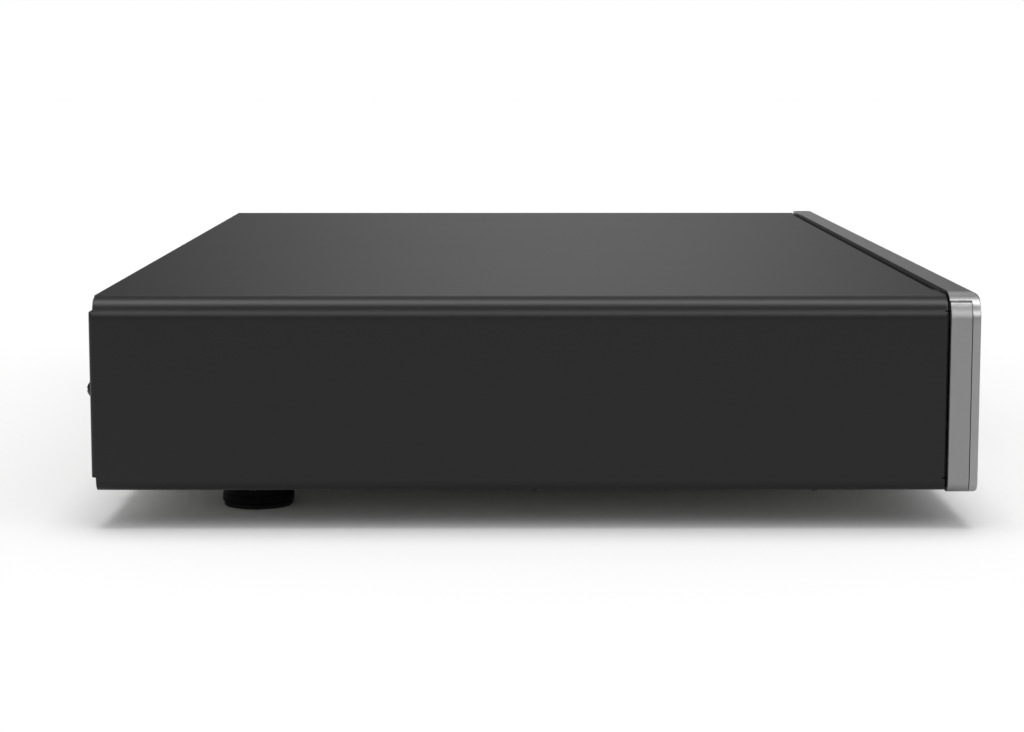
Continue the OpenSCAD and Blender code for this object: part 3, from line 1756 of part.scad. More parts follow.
top_cover();
base_plate();
rear_panel();
front_fascia();
fascia_frame();
front_carrier();
foot_front_left();
foot_front_right();
foot_rear_left();
foot_rear_right();
foot_pads();
foot_screws();
cover_rear_screws();
cover_base_screws();
rear_panel_screws();
carrier_screws();
fascia_screws();
display_window();
display_module();
front_board();
standby_button();
status_light();
button_left_top();
button_left_mid();
button_left_low();
button_right_top();
button_right_mid();
button_right_low();
tact_switches();
selector_knob();
encoder_shaft();
encoder_plunger();
encoder_body();
encoder_nut();
usb_sockets();
usb_tongues();
mains_inlet();
inlet_pins();
power_switch();
power_rocker();
phono_blocks();
phono_barrels();
phono_insert_white();
phono_insert_red();
phono_insert_black();
optical_socket();
optical_shutter();
network_socket();
aerial_sockets();
main_board();
stream_module();
module_shield();
power_board();
transformer();
capacitors();
heatsink();
standoffs();
board_screws();
ribbon_cable();
internal_leads();
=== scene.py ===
"""Network music streamer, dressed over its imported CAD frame: a folded steel case with an aluminium
front, seen from its left side. Sizes are in millimetres, and at() or MM turns them to metres."""

import math

import bmesh
import bpy
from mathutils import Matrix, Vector


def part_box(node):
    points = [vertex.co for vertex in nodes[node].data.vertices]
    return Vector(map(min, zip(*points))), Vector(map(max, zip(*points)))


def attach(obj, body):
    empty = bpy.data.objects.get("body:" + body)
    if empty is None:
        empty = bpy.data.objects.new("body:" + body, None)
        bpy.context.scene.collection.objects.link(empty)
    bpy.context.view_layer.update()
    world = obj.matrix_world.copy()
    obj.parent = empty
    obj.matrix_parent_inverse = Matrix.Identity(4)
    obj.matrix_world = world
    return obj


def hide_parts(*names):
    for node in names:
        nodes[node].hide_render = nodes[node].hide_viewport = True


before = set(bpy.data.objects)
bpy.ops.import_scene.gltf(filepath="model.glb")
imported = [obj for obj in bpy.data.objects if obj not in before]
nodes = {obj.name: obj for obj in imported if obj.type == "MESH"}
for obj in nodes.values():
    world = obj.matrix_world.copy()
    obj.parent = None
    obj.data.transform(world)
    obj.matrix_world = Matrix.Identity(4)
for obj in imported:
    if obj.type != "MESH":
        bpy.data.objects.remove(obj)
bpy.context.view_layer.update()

# Base plate: a tray folded from zinc-plated steel sheet, punched with slots for cool air.
# Everything else is screwed to it, and the cover hides it except from below.

MM = 0.001


def linear(colour):
    """An sRGB hex colour as linear red, green and blue, with an alpha of 1."""
    parts = [int(colour[i:i + 2], 16) / 255 for i in (1, 3, 5)]
    return [c / 12.92 if c <= 0.04045 else ((c + 0.055) / 1.055) ** 2.4 for c in parts] + [1.0]


def add(tree, kind, inputs={}, outputs={}, **settings):
    """Adds a node with its settings. An input is set, or linked from a socket; outputs are linked on."""
    node = tree.nodes.new(kind)
    for name, value in settings.items():
        setattr(node, name, value)
    for name, value in inputs.items():
        if isinstance(value, bpy.types.NodeSocket):
            tree.links.new(value, node.inputs[name])
        else:
            node.inputs[name].default_value = value
    for name, socket in outputs.items():
        tree.links.new(node.outputs[name], socket)
    return node


def started(name, colour, metallic, roughness, **sockets):
    """A new material with its constant values on the shader, and its Object coordinates."""
    material = bpy.data.materials.new(name)
    material.use_nodes = True
    tree = material.node_tree
    shader = tree.nodes["Principled BSDF"]
    shader.inputs["Base Color"].default_value = linear(colour)
    shader.inputs["Metallic"].default_value = metallic
    shader.inputs["Roughness"].default_value = roughness
    for socket, value in sockets.items():
        shader.inputs[socket.replace("_", " ")].default_value = value
    where = add(tree, "ShaderNodeTexCoord").outputs["Object"]
    return material, tree, shader, where


def grained(tree, shader, where, size, detail, relief):
    """An uneven surface: a grain size mm wide and relief mm deep."""
    grit = add(tree, "ShaderNodeTexNoise", {"Vector": where, "Scale": 1000 / size, "Detail": detail})
    add(tree, "ShaderNodeBump", {"Height": grit.outputs["Fac"], "Distance": relief * MM},
        {"Normal": shader.inputs["Normal"]})


def dress(material, *names):
    """Gives CAD nodes that stay in view their finish."""
    for name in names:
        for held in nodes[name].material_slots:
            held.material = material


# Zinc plate: a cold grey metal with pale crystal patches about 6 mm across.
zinc, tree, shader, where = started("zinc_plated_steel", "#AAA9A4", 1.0, 0.36)
crystals = add(tree, "ShaderNodeTexVoronoi", {"Vector": where, "Scale": 1000 / 6})
add(tree, "ShaderNodeMix", {0: crystals.outputs["Color"], 6: linear("#9B9A96"), 7: linear("#BDBCB6")},
    {2: shader.inputs["Base Color"]}, data_type="RGBA")
grained(tree, shader, where, 0.8, 2.0, 0.004)
dress(zinc, "base_plate")

# Feet: four round mouldings of black ABS with a rubber ring pressed into a groove below,
# each held by one screw from underneath.

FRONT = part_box("front_fascia")[0].y


def at(x, d, z):
    """A point in mm: across from the middle, back from the front face, up from the floor."""
    return Vector((x * MM, FRONT + d * MM, z * MM))


def reach(node):
    """The lowest and highest corner of a CAD piece, in mm as at() takes them."""
    return [[round(v / MM, 4) for v in (end.x, end.y - FRONT, end.z)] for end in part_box(node)]


def middle(node):
    """The middle of a CAD piece, in mm as at() takes it."""
    return [(low + high) / 2 for low, high in zip(*reach(node))]


def piece(name, mesh):
    """Puts a mesh in the scene with its place in its points."""
    obj = bpy.data.objects.new(name, mesh)
    bpy.context.scene.collection.objects.link(obj)
    return obj


def settled(obj):
    """Turns a piece and its modifiers into a plain mesh."""
    view = bpy.context.evaluated_depsgraph_get()
    mesh = bpy.data.meshes.new_from_object(obj.evaluated_get(view))
    rough = obj.data
    obj.modifiers.clear()
    obj.data = mesh
    bpy.data.meshes.remove(rough)
    return obj


def finished(obj, material, body, slot, *stands_for, angle=35):
    """Shades a piece so that flat faces look flat, and gives it its material and what it moves with. The
    slot is not used.
    """
    obj.data.shade_smooth()
    obj.data.set_sharp_from_angle(angle=math.radians(angle))
    even = obj.modifiers.new("even", "WEIGHTED_NORMAL")
    even.keep_sharp, even.weight = True, 100
    settled(obj)
    obj.data.materials.clear()
    obj.data.materials.append(material)
    if stands_for:
        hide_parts(*stands_for)
    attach(obj, body)


def corner(r, h, radius, start, stop, steps=5):
    """Points on a round edge of an outline, between two angles in degrees."""
    turn = [math.radians(start + (stop - start) * i / steps) for i in range(steps + 1)]
    return [(r + radius * math.cos(t), h + radius * math.sin(t)) for t in turn]


def turned(bm, outline, place, steps=72):
    """Turns a closed outline of radius and height, in mm, about an axis that place sets."""
    rings = []
    for r, h in outline:
        if r < 1e-6:
            rings.append([bm.verts.new(place(0, 0, h))])
            continue
        spin = [2 * math.pi * i / steps for i in range(steps)]
        rings.append([bm.verts.new(place(r * math.cos(a), r * math.sin(a), h)) for a in spin])
    for one, two in zip(rings, rings[1:] + rings[:1]):
        for i in range(steps):
            j = (i + 1) % steps
            loop = [one[i % len(one)], one[j % len(one)], two[j % len(two)], two[i % len(two)]]
            loop = list(dict.fromkeys(loop))
            if len(loop) > 2:
                bm.faces.new(loop)


def closed(bm, name):
    """Ends a closed mesh with its faces outward."""
    bmesh.ops.remove_doubles(bm, verts=bm.verts, dist=1e-7)
    bmesh.ops.recalc_face_normals(bm, faces=bm.faces)
    mesh = bpy.data.meshes.new(name)
    bm.to_mesh(mesh)
    bm.free()
    return piece(name, mesh)


def mottled(tree, shader, where, size, light, dark, swing, roughness):
    """Soft patches, size mm wide, that shift the colour between two and the gloss a little."""
    cloud = add(tree, "ShaderNodeTexNoise", {"Vector": where, "Scale": 1000 / size, "Detail": 4.0})
    add(tree, "ShaderNodeMix", {0: cloud.outputs["Fac"], 6: linear(dark), 7: linear(light)},
        {2: shader.inputs["Base Color"]}, data_type="RGBA")
    add(tree, "ShaderNodeMapRange", {"Value": cloud.outputs["Fac"], "From Min": 0.25, "From Max": 0.75,
        "To Min": roughness - swing, "To Max": roughness + swing}, {"Result": shader.inputs["Roughness"]})


def moulded(name, colour, light, dark, grain, relief, roughness, **sockets):
    """A moulded or sprayed finish: faint cloudy tone, and a grain of the given mm size and depth."""
    material, tree, shader, where = started(name, colour, 0.0, roughness, **sockets)
    mottled(tree, shader, where, 40, light, dark, 0.04, roughness)
    grained(tree, shader, where, grain, 2.0, relief)
    return material


# Moulded ABS: black with a dull sheen and a spark-eroded grain of about 0.4 mm. Its colour is darker and
# its shine weaker than plain black ABS, as painted shade for the deep shadow under the body.
shade_darkened_black_abs = moulded("shade_darkened_black_moulded_abs", "#080808", "#0A0A0A", "#060606", 0.4, 0.01, 0.55,
                    Specular_IOR_Level=0.12)
# Rubber: black, quite matt, with a coarser grain.
rubber = moulded("black_rubber", "#101010", "#141414", "#0C0C0C", 0.7, 0.02, 0.78)

foot_r, sole_r, brim_r = 12.0, 0.9, 0.4
hole_r, recess_r, seat, seat_edge, mouth_edge = 1.65, 4.25, 8.2, 0.3, 0.5
groove_low, groove_top, groove_in, groove_edge = 4.2, 5.2, 0.25, 0.3
ring_in, ring_out, ring_r = 6.0, 11.5, 0.4
feet = []
rings = bmesh.new()
for name in ("foot_front_left", "foot_front_right", "foot_rear_left", "foot_rear_right"):
    x, d, _ = middle(name)
    (_, _, foot_low), (_, _, foot_top) = reach(name)
    feet.append((x, d))
    spot = lambda a, b, z, x=x, d=d: at(x + a, d + b, z)
    shell = bmesh.new()
    turned(shell, [(hole_r, foot_top), (hole_r, seat), (recess_r - seat_edge, seat),
                   (recess_r, seat - seat_edge), (recess_r, foot_low + mouth_edge),
                   (recess_r + mouth_edge, foot_low)]
           + corner(foot_r - sole_r, foot_low + sole_r, sole_r, -90, 0)
           + [(foot_r, groove_low), (foot_r - groove_in, groove_low + groove_edge),
              (foot_r - groove_in, groove_top - groove_edge), (foot_r, groove_top)]
           + corner(foot_r - brim_r, foot_top - brim_r, brim_r, 0, 90, 3), spot)
    finished(closed(shell, name + "_moulding"), shade_darkened_black_abs, "case", "foot_plastic", name)
    turned(rings, corner(ring_in + ring_r, ring_r, ring_r, 180, 270, 3)
           + corner(ring_out - ring_r, ring_r, ring_r, -90, 0, 3)
           + [(ring_out, foot_low), (ring_in, foot_low)], spot)
finished(closed(rings, "foot_rings"), rubber, "case", "pad_rubber", "foot_pads")

# Screws: domed heads with a cross recess, zinc-plated in the feet and inside, black on the case.
# They are cold-headed steel, so each head has a round crown over a short straight rim.

screw_tree = bpy.data.node_groups.new("domed_screws", "GeometryNodeTree")
sockets = {}
for kind, names in (
        ("Geometry", ("Places",)), ("Rotation", ("Turn",)), ("Material", ("Finish",)),
        ("Float", ("Crown radius", "Head radius", "Head height", "Shank radius", "Shank length")),
        ("Vector", ("Crown place", "Head place", "Flat bar", "Upright bar", "Recess place",
                    "Shank place"))):
    for name in names:
        sockets[name] = screw_tree.interface.new_socket(name, in_out="INPUT",
                                                        socket_type="NodeSocket" + kind)
screw_tree.interface.new_socket("Screws", in_out="OUTPUT", socket_type="NodeSocketGeometry")
given = add(screw_tree, "NodeGroupInput").outputs
crown = add(screw_tree, "GeometryNodeMeshBoolean", operation="INTERSECT")
recess = add(screw_tree, "GeometryNodeMeshBoolean", {"Mesh 1": crown.outputs["Mesh"]},
             operation="DIFFERENCE")
whole = add(screw_tree, "GeometryNodeJoinGeometry", {"Geometry": recess.outputs["Mesh"]})
for kind, sizes, place, target in (
        ("UVSphere", {"Segments": 40, "Rings": 64, "Radius": given["Crown radius"]},
         "Crown place", crown.inputs["Mesh 2"]),
        ("Cylinder", {"Vertices": 40, "Radius": given["Head radius"], "Depth": given["Head height"]},
         "Head place", crown.inputs["Mesh 2"]),
        ("Cube", {"Size": given["Flat bar"]}, "Recess place", recess.inputs["Mesh 2"]),
        ("Cube", {"Size": given["Upright bar"]}, "Recess place", recess.inputs["Mesh 2"]),
        ("Cylinder", {"Vertices": 24, "Radius": given["Shank radius"], "Depth": given["Shank length"]},
         "Shank place", whole.inputs["Geometry"])):
    form = add(screw_tree, "GeometryNodeMesh" + kind, sizes)
    add(screw_tree, "GeometryNodeTransform",
        {"Geometry": form.outputs["Mesh"], "Translation": given[place]}, {"Geometry": target})
set_out = add(screw_tree, "GeometryNodeInstanceOnPoints", {
    "Points": given["Places"], "Instance": whole.outputs["Geometry"], "Rotation": given["Turn"]})
solid = add(screw_tree, "GeometryNodeRealizeInstances", {"Geometry": set_out.outputs["Instances"]})
painted = add(screw_tree, "GeometryNodeSetMaterial",
              {"Geometry": solid.outputs["Geometry"], "Material": given["Finish"]})
add(screw_tree, "NodeGroupOutput", {"Screws": painted.outputs["Geometry"]})

head_r, head_h, shank_r = 2.75, 2.2, 1.45
crown_h, bar_l, bar_w, recess_part = 0.7 * head_h, 1.1 * head_r, 0.26 * head_r, 0.95
crown_r = (head_r ** 2 + crown_h ** 2) / (2 * crown_h)


def screws(node, finish, slot, places, length, turn):
    """Screws of one row, at places in mm, with the head's seat at each place."""
    mesh = bpy.data.meshes.new(node)
    mesh.from_pydata([at(*place) for place in places], [], [])
    obj = piece(node + "_set", mesh)
    modifier = obj.modifiers.new("screws", "NODES")
    modifier.node_group = screw_tree
    modifier[sockets["Turn"].identifier] = turn
    modifier[sockets["Finish"].identifier] = finish
    for name, size in (("Crown radius", crown_r), ("Head radius", head_r), ("Head height", head_h),
                       ("Shank radius", shank_r), ("Shank length", length)):
        modifier[sockets[name].identifier] = size * MM
    head, crown, shank = [Vector((0, 0, size * MM)) for size in (head_h, crown_r, length)]
    for name, value in (("Crown place", head - crown), ("Head place", head * 0.5),
                        ("Recess place", head * recess_part), ("Shank place", shank * -0.5)):
        modifier[sockets[name].identifier] = value
    for name, across, along in (("Flat bar", bar_l, bar_w), ("Upright bar", bar_w, bar_l)):
        modifier[sockets[name].identifier] = (across * MM, along * MM, head_h * MM)
    obj.update_tag()
    finished(settled(obj), finish, "case", slot, node)


def plated(name, colour, light, dark, roughness):
    """A plated or machined metal: near even, with faint patches and a fine tooled grain."""
    material, tree, shader, where = started(name, colour, 1.0, roughness)
    mottled(tree, shader, where, 12, light, dark, 0.05, roughness)
    grained(tree, shader, where, 0.25, 1.0, 0.002)
    return material


# Black oxide on steel: a dark, slightly warm metal sheen.
black_oxide = plated("black_oxide_steel", "#2A2A2B", "#303031", "#232324", 0.42)
# Bright zinc on steel: pale, with a faint yellow cast.
bright_zinc = plated("bright_zinc_steel", "#B9B8B0", "#C4C3BC", "#ADACA3", 0.3)

BACK, DOWN = (math.radians(-90), 0, 0), (math.radians(180), 0, 0)
(_, _, cover_low), (half, body_d, _) = reach("top_cover")
base_in, base_end, rear_in, panel_step = 14.5, 50.0, 9.0, 1.2
panel_screw_places = (-160, -50, 80, 190)
rear_z, panel_screw_z = middle("cover_rear_screws")[2], middle("rear_panel_screws")[2]
screws("foot_screws", bright_zinc, "screw_zinc", [(x, d, seat) for x, d in feet], 7, DOWN)
screws("cover_base_screws", black_oxide, "screw_black",
       [(s * (half - base_in), d, cover_low) for s in (-1, 1)
        for d in (base_end, body_d / 2, body_d - base_end)], 5.2, DOWN)
screws("cover_rear_screws", black_oxide, "screw_black",
       [(s * (half - rear_in), body_d, rear_z) for s in (-1, 1)], 6, BACK)
screws("rear_panel_screws", black_oxide, "screw_black",
       [(x, body_d - panel_step, panel_screw_z) for x in panel_screw_places], 5, BACK)
dress(bright_zinc, "carrier_screws", "fascia_screws", "board_screws")

# Boards inside: glass-epoxy circuit boards on brass spacers, with a shielded streaming module,
# a switching supply, its heat sink and its wiring. Only a little shows through the vents.


def masked(name, colour, track):
    """Solder mask over copper: glossy lacquer with tracks about 1.5 mm apart showing as paler lines."""
    material, tree, shader, where = started(name, colour, 0.0, 0.35)
    tracks = add(tree, "ShaderNodeTexBrick", {
        "Vector": where, "Scale": 1.0, "Color1": linear(colour), "Color2": linear(colour),
        "Mortar": linear(track), "Mortar Size": 0.3 * MM, "Brick Width": 9 * MM, "Row Height": 1.5 * MM},
        {"Color": shader.inputs["Base Color"]})
    add(tree, "ShaderNodeBump", {"Height": tracks.outputs["Fac"], "Distance": 0.03 * MM},
        {"Normal": shader.inputs["Normal"]})
    return material


dress(masked("green_solder_mask", "#14502E", "#2A7A4C"), "main_board", "front_board", "power_board")
dress(masked("blue_solder_mask", "#15315F", "#2F5590"), "stream_module")
# Tinned steel: bright and soft, with faint clouding.
tin = plated("tinned_steel", "#C6C6C3", "#D0D0CD", "#B6B6B3", 0.28)
# Turned brass: warm yellow metal.
brass = plated("turned_brass", "#C9A760", "#D3B470", "#B89550", 0.3)
# Extruded aluminium, left raw: a plain pale grey.
raw_aluminium = plated("raw_aluminium", "#B5B6B8", "#C2C3C5", "#A5A6A8", 0.4)
dress(tin, "module_shield")
dress(brass, "standoffs")
dress(raw_aluminium, "heatsink")
# Ferrite and its wound bobbin: dull dark grey with an amber tape, speckled like fired clay.
dress(moulded("wound_ferrite", "#3A352C", "#4A4336", "#2B2822", 1.2, 0.03, 0.6), "transformer")
# Capacitor sleeve: heat-shrunk glossy film.
dress(moulded("shrink_sleeve", "#17181B", "#1D1E22", "#121316", 3.0, 0.01, 0.25), "capacitors")
# Flat cable: grey polyester laminate with its conductors showing every 1 mm, which is the distance
# between a wave texture's bands at this scale.
band = math.tau / 20 / MM
flat_cable, tree, shader, where = started("flat_cable_laminate", "#C9C9C4", 0.0, 0.4)
wires = add(tree, "ShaderNodeTexWave", {"Vector": where, "Scale": band}, bands_direction="X")
add(tree, "ShaderNodeMix", {0: wires.outputs["Fac"], 6: linear("#B2B2AD"), 7: linear("#D6D6D1")},
    {2: shader.inputs["Base Color"]}, data_type="RGBA")
dress(flat_cable, "ribbon_cable")
# Lead sleeves: soft brown vinyl with a dull shine.
dress(moulded("brown_vinyl_sleeve", "#4A2A1C", "#553222", "#402417", 0.8, 0.01, 0.45), "internal_leads")

# Rear panel: a flat sheet of steel under satin black powder coat, punched for the sockets and
# for a row of warm-air slots, and screwed to the base's rear flange.


def merged(node):
    """A copy of a CAD piece with its doubled points joined and its flat faces made whole."""
    bm = bmesh.new()
    bm.from_mesh(nodes[node].data)
    bmesh.ops.remove_doubles(bm, verts=bm.verts, dist=1e-6)
    bmesh.ops.dissolve_limit(bm, angle_limit=math.radians(0.5), verts=bm.verts, edges=bm.edges)
    mesh = bpy.data.meshes.new(node)
    bm.to_mesh(mesh)
    bm.free()
    if "custom_normal" in mesh.attributes:
        mesh.attributes.remove(mesh.attributes["custom_normal"])
    return piece(node + "_eased", mesh)


def eased(node, width, material, body, slot, segments=2):
    """A CAD piece with its sharp edges broken by width mm, as a tool or a mould leaves them."""
    obj = merged(node)
    edge = obj.modifiers.new("edge", "BEVEL")
    edge.width, edge.segments, edge.limit_method = width * MM, segments, "ANGLE"
    edge.angle_limit = math.radians(40)
    finished(settled(obj), material, body, slot, node, angle=50)


# Powder coat: melted plastic dust, so satin with a fine orange peel about 0.6 mm across.
black_powder = moulded("black_powder_coat", "#1A1A1B", "#1D1D1E", "#171718", 0.6, 0.006, 0.46)
eased("rear_panel", 0.15, black_powder, "case", "rear_paint")

# Mains inlet and switch: black glass-filled nylon snapped into the panel, nickel-plated pins,
# and a rocker that tilts on two trunnions.

# Nylon: deep black and smooth, with a soft sheen.
nylon = moulded("black_nylon", "#0E0E0F", "#121213", "#0B0B0C", 0.5, 0.006, 0.4)
# Nickel plate: warm grey and bright.
nickel = plated("nickel_plate", "#BDB8AE", "#C8C4BB", "#AFA99E", 0.22)
eased("mains_inlet", 0.4, nylon, "case", "socket_black", 3)
eased("inlet_pins", 0.3, nickel, "case", "pin_nickel")
eased("power_switch", 0.4, nylon, "case", "switch_plastic", 3)
eased("power_rocker", 0.5, nylon, "rocker", "switch_plastic", 3)

# Audio sockets: three gold-plated phono barrels in black blocks, each with a coloured insert,
# and an optical socket behind a sprung dust shutter.

# Gold plate over nickel: yellow and bright.
gold = plated("gold_plate", "#D9B35C", "#E2C06E", "#C79F47", 0.2)
barrel_r, bore_r, end_r, axis_z = 4.15, 3.55, 0.25, 34.8
line_front, line_back, line_in, line_edge = 281.4, 282.4, 0.15, 0.2
(_, barrel_front, _), (_, barrel_end, _) = reach("phono_barrels")
barrel_places = (-29.8, -61.8, -83.8)
barrels = bmesh.new()
for x in barrel_places:
    turned(barrels, [(bore_r, barrel_front), (barrel_r, barrel_front), (barrel_r, line_front),
                     (barrel_r - line_in, line_front + line_edge),
                     (barrel_r - line_in, line_back - line_edge), (barrel_r, line_back)]
           + corner(barrel_r - end_r, barrel_end - end_r, end_r, 0, 90, 3)
           + corner(bore_r + end_r, barrel_end - end_r, end_r, 90, 180, 3),
           lambda a, b, d, x=x: at(x + a, d, axis_z + b), 48)
finished(closed(barrels, "phono_barrel_set"), gold, "case", "contact_gold", "phono_barrels")
# Coloured inserts: moulded acetal, slightly waxy.
for tint, colour, light, dark in (("white", "#E4E2DC", "#E9E7E2", "#DCDAD3"),
                                  ("red", "#B3201C", "#BC2722", "#A51A17"),
                                  ("black", "#141415", "#19191A", "#101011")):
    acetal = moulded(tint + "_acetal", colour, light, dark, 0.5, 0.004, 0.38)
    eased("phono_insert_" + tint, 0.2, acetal, "case", "insulator_" + tint)
dress(nylon, "phono_blocks")
eased("optical_socket", 0.3, nylon, "case", "socket_black")
# The shutter's acetal is dark grey and a little duller.
grey_acetal = moulded("grey_acetal", "#3C3D40", "#434447", "#343538", 0.4, 0.004, 0.42)
eased("optical_shutter", 0.1, grey_acetal, "shutter", "switch_plastic")

# Data sockets: a shielded network socket and two serial sockets with their gold contact strips,
# and two threaded aerial sockets held by hexagon nuts.

contact_tree = bpy.data.node_groups.new("contact_row", "GeometryNodeTree")
row = {}
for name, kind in (("Mesh", "Geometry"), ("Strip", "Vector"), ("First", "Vector"), ("Step", "Vector"),
                   ("Count", "Int"), ("Finish", "Material")):
    row[name] = contact_tree.interface.new_socket(name, in_out="INPUT", socket_type="NodeSocket" + kind)
contact_tree.interface.new_socket("Contacts", in_out="OUTPUT", socket_type="NodeSocketGeometry")
given = add(contact_tree, "NodeGroupInput").outputs
spots = add(contact_tree, "GeometryNodeMeshLine", {
    "Count": given["Count"], "Start Location": given["First"], "Offset": given["Step"]})
strip = add(contact_tree, "GeometryNodeMeshCube", {"Size": given["Strip"]})
set_out = add(contact_tree, "GeometryNodeInstanceOnPoints",
              {"Points": spots.outputs["Mesh"], "Instance": strip.outputs["Mesh"]})
solid = add(contact_tree, "GeometryNodeRealizeInstances", {"Geometry": set_out.outputs["Instances"]})
painted = add(contact_tree, "GeometryNodeSetMaterial",
              {"Geometry": solid.outputs["Geometry"], "Material": given["Finish"]})
add(contact_tree, "NodeGroupOutput", {"Contacts": painted.outputs["Geometry"]})


def contacts(name, strip, x, d, z, pitch, count):
    """A row of gold strips: size of one, middle of the row and spacing, in mm."""
    obj = piece(name, bpy.data.meshes.new(name))
    modifier = obj.modifiers.new("row", "NODES")
    modifier.node_group = contact_tree
    for key, value in (("Strip", Vector(strip) * MM), ("First", at(x - (count - 1) / 2 * pitch, d, z)),
                       ("Step", (pitch * MM, 0, 0)), ("Count", count), ("Finish", gold)):
        modifier[row[key].identifier] = value
    obj.update_tag()
    settled(obj)
    edge = obj.modifiers.new("edge", "BEVEL")
    edge.width, edge.segments = 0.04 * MM, 1
    finished(settled(obj), gold, "case", "contact_gold")


mid_z = middle("front_fascia")[2]
network_x, network_d, network_z = middle("network_socket")[0], 275.4, 26.55
shell_w, shell_h, contact_lift = 13.3, 5.9, 0.05
(serial_left, _, serial_low), (serial_right, _, _) = reach("usb_sockets")
front_serial_x, rear_serial_x = serial_left + shell_w / 2, serial_right - shell_w / 2
eased("network_socket", 0.25, tin, "case", "socket_tin")
contacts("network_contacts", (0.5, 9.0, 0.3), network_x, network_d, network_z, 1.02, 8)
eased("usb_sockets", 0.12, tin, "case", "socket_tin")
# Liquid crystal polymer: an off-white, stiff moulding that takes the heat of soldering.
tongue = moulded("white_liquid_crystal_polymer", "#D8D6CF", "#DEDCD6", "#CFCDC5", 0.5, 0.004, 0.45)
eased("usb_tongues", 0.15, tongue, "case", "insulator_white")
for end, x, d, z in (("front", front_serial_x, 6.5, mid_z),
                     ("rear", rear_serial_x, 275.0, serial_low + shell_h / 2)):
    contacts(end + "_serial_contacts", (1.0, 7.0, 0.12), x, d, z + contact_lift, 7 / 3, 4)
# Gold-plated thread: the same gold with a 0.7 mm pitch cut round it.
thread, tree, shader, where = started("gold_thread", "#D9B35C", 1.0, 0.24)
mottled(tree, shader, where, 12, "#E2C06E", "#C79F47", 0.05, 0.24)
pitch = add(tree, "ShaderNodeTexWave", {"Vector": where, "Scale": band / 0.7}, bands_direction="Y")
add(tree, "ShaderNodeBump", {"Height": pitch.outputs["Fac"], "Distance": 0.18 * MM},
    {"Normal": shader.inputs["Normal"]})
eased("aerial_sockets", 0.15, thread, "case", "contact_gold")

# Front carrier and rim: a black steel sheet screwed to the base, and on it a moulded rim,
# sprayed silver-grey to match the plate, that carries the front.

# Sheet paint: a plain black with little shine.
dress(moulded("black_sheet_paint", "#0E0E0E", "#121212", "#0B0B0B", 0.6, 0.006, 0.5), "front_carrier")
# Silver lacquer on plastic: a satin grey with fine metal flake.
silver_lacquer, tree, shader, where = started("silver_lacquer", "#969696", 0.55, 0.4)
mottled(tree, shader, where, 60, "#999999", "#939393", 0.03, 0.4)
grained(tree, shader, where, 0.3, 1.0, 0.003)


def corners(w, z0, z1, top_r, low_r, steps=12):
    """Outline of an upright rectangle about x = 0 with round corners, as x and z in mm."""
    ring = []
    for x, z, r, turn in ((w / 2, z1, top_r, 0), (-w / 2, z1, top_r, 90), (-w / 2, z0, low_r, 180),
                          (w / 2, z0, low_r, 270)):
        cx, cz = x - math.copysign(r, x), z + (r if z == z0 else -r)
        ring += corner(cx, cz, r, turn, turn + 90, steps)
    return ring


def slab(bm, ring, d0, d1, round_front=0.0, steps=4):
    """A flat outline as a solid between two depths, with its front edge rounded if asked."""
    front = [bm.verts.new(at(x, d0, z)) for x, z in ring]
    rear = [bm.verts.new(at(x, d1, z)) for x, z in ring]
    face = bm.faces.new(front)
    bm.faces.new(rear[::-1])
    for i in range(len(ring)):
        j = (i + 1) % len(ring)
        bm.faces.new((front[i], rear[i], rear[j], front[j]))
    if round_front:
        bmesh.ops.bevel(bm, geom=face.edges[:], offset=round_front * MM, segments=steps, profile=0.5,
                        affect="EDGES")


def carved(obj, tool, width, keep="DIFFERENCE"):
    """Cuts a piece by a tool's shapes, then breaks the cut edges by width mm."""
    cut = obj.modifiers.new("cut", "BOOLEAN")
    cut.operation, cut.solver, cut.object = keep, "EXACT", tool
    settled(obj)
    bpy.data.objects.remove(tool)
    edge = obj.modifiers.new("edge", "BEVEL")
    edge.width, edge.segments, edge.limit_method = width * MM, 2, "ANGLE"
    edge.angle_limit = math.radians(50)
    return settled(obj)


(panel_left, _, panel_low), (panel_right, lip_d, panel_top) = reach("front_fascia")
panel_w, panel_r, rim_low_r, trim_gap, trim_d = panel_right - panel_left, 9.0, 3.5, 0.05, 20
trim = bmesh.new()
slab(trim, corners(panel_w + 2 * trim_gap, panel_low - trim_gap, panel_top + trim_gap, panel_r, rim_low_r),
     0, trim_d)
rim = carved(merged("fascia_frame"), closed(trim, "rim_outline"), 0.2, keep="INTERSECT")
finished(rim, silver_lacquer, "case", "rim_plastic", "fascia_frame", angle=50)

# Front plate: an aluminium extrusion with a lip along its top and round long edges, milled for the
# controls, brushed along its length, then anodised silver-grey. Screws from behind hold it to the rim.


def brushed(name, colour, light, dark, roughness, relief, stretch):
    """A metal whose scratches run along x, drawn about 0.25 mm apart so that they show."""
    material, tree, shader, where = started(name, colour, 1.0, roughness)
    run = add(tree, "ShaderNodeMapping", {"Vector": where, "Scale": (stretch, 1, 1)})
    lines = add(tree, "ShaderNodeTexNoise",
                {"Vector": run.outputs["Vector"], "Scale": 1000 / 0.25, "Detail": 3.0}).outputs["Fac"]
    add(tree, "ShaderNodeMix", {0: lines, 6: linear(dark), 7: linear(light)},
        {2: shader.inputs["Base Color"]}, data_type="RGBA")
    swing = 0.06
    add(tree, "ShaderNodeMapRange",
        {"Value": lines, "To Min": roughness - swing, "To Max": roughness + swing},
        {"Result": shader.inputs["Roughness"]})
    add(tree, "ShaderNodeBump", {"Height": lines, "Distance": relief * MM},
        {"Normal": shader.inputs["Normal"]})
    return material


def tablet(x, z, w, h, r, steps=12):
    """Outline of a rectangle about a middle, with four round corners, as x and z in mm. A round hole
    has a radius a hair under half its width, so that no side has a length of nothing."""
    return [(a + x, b + z) for a, b in corners(w, -h / 2, h / 2, r, r, steps)]


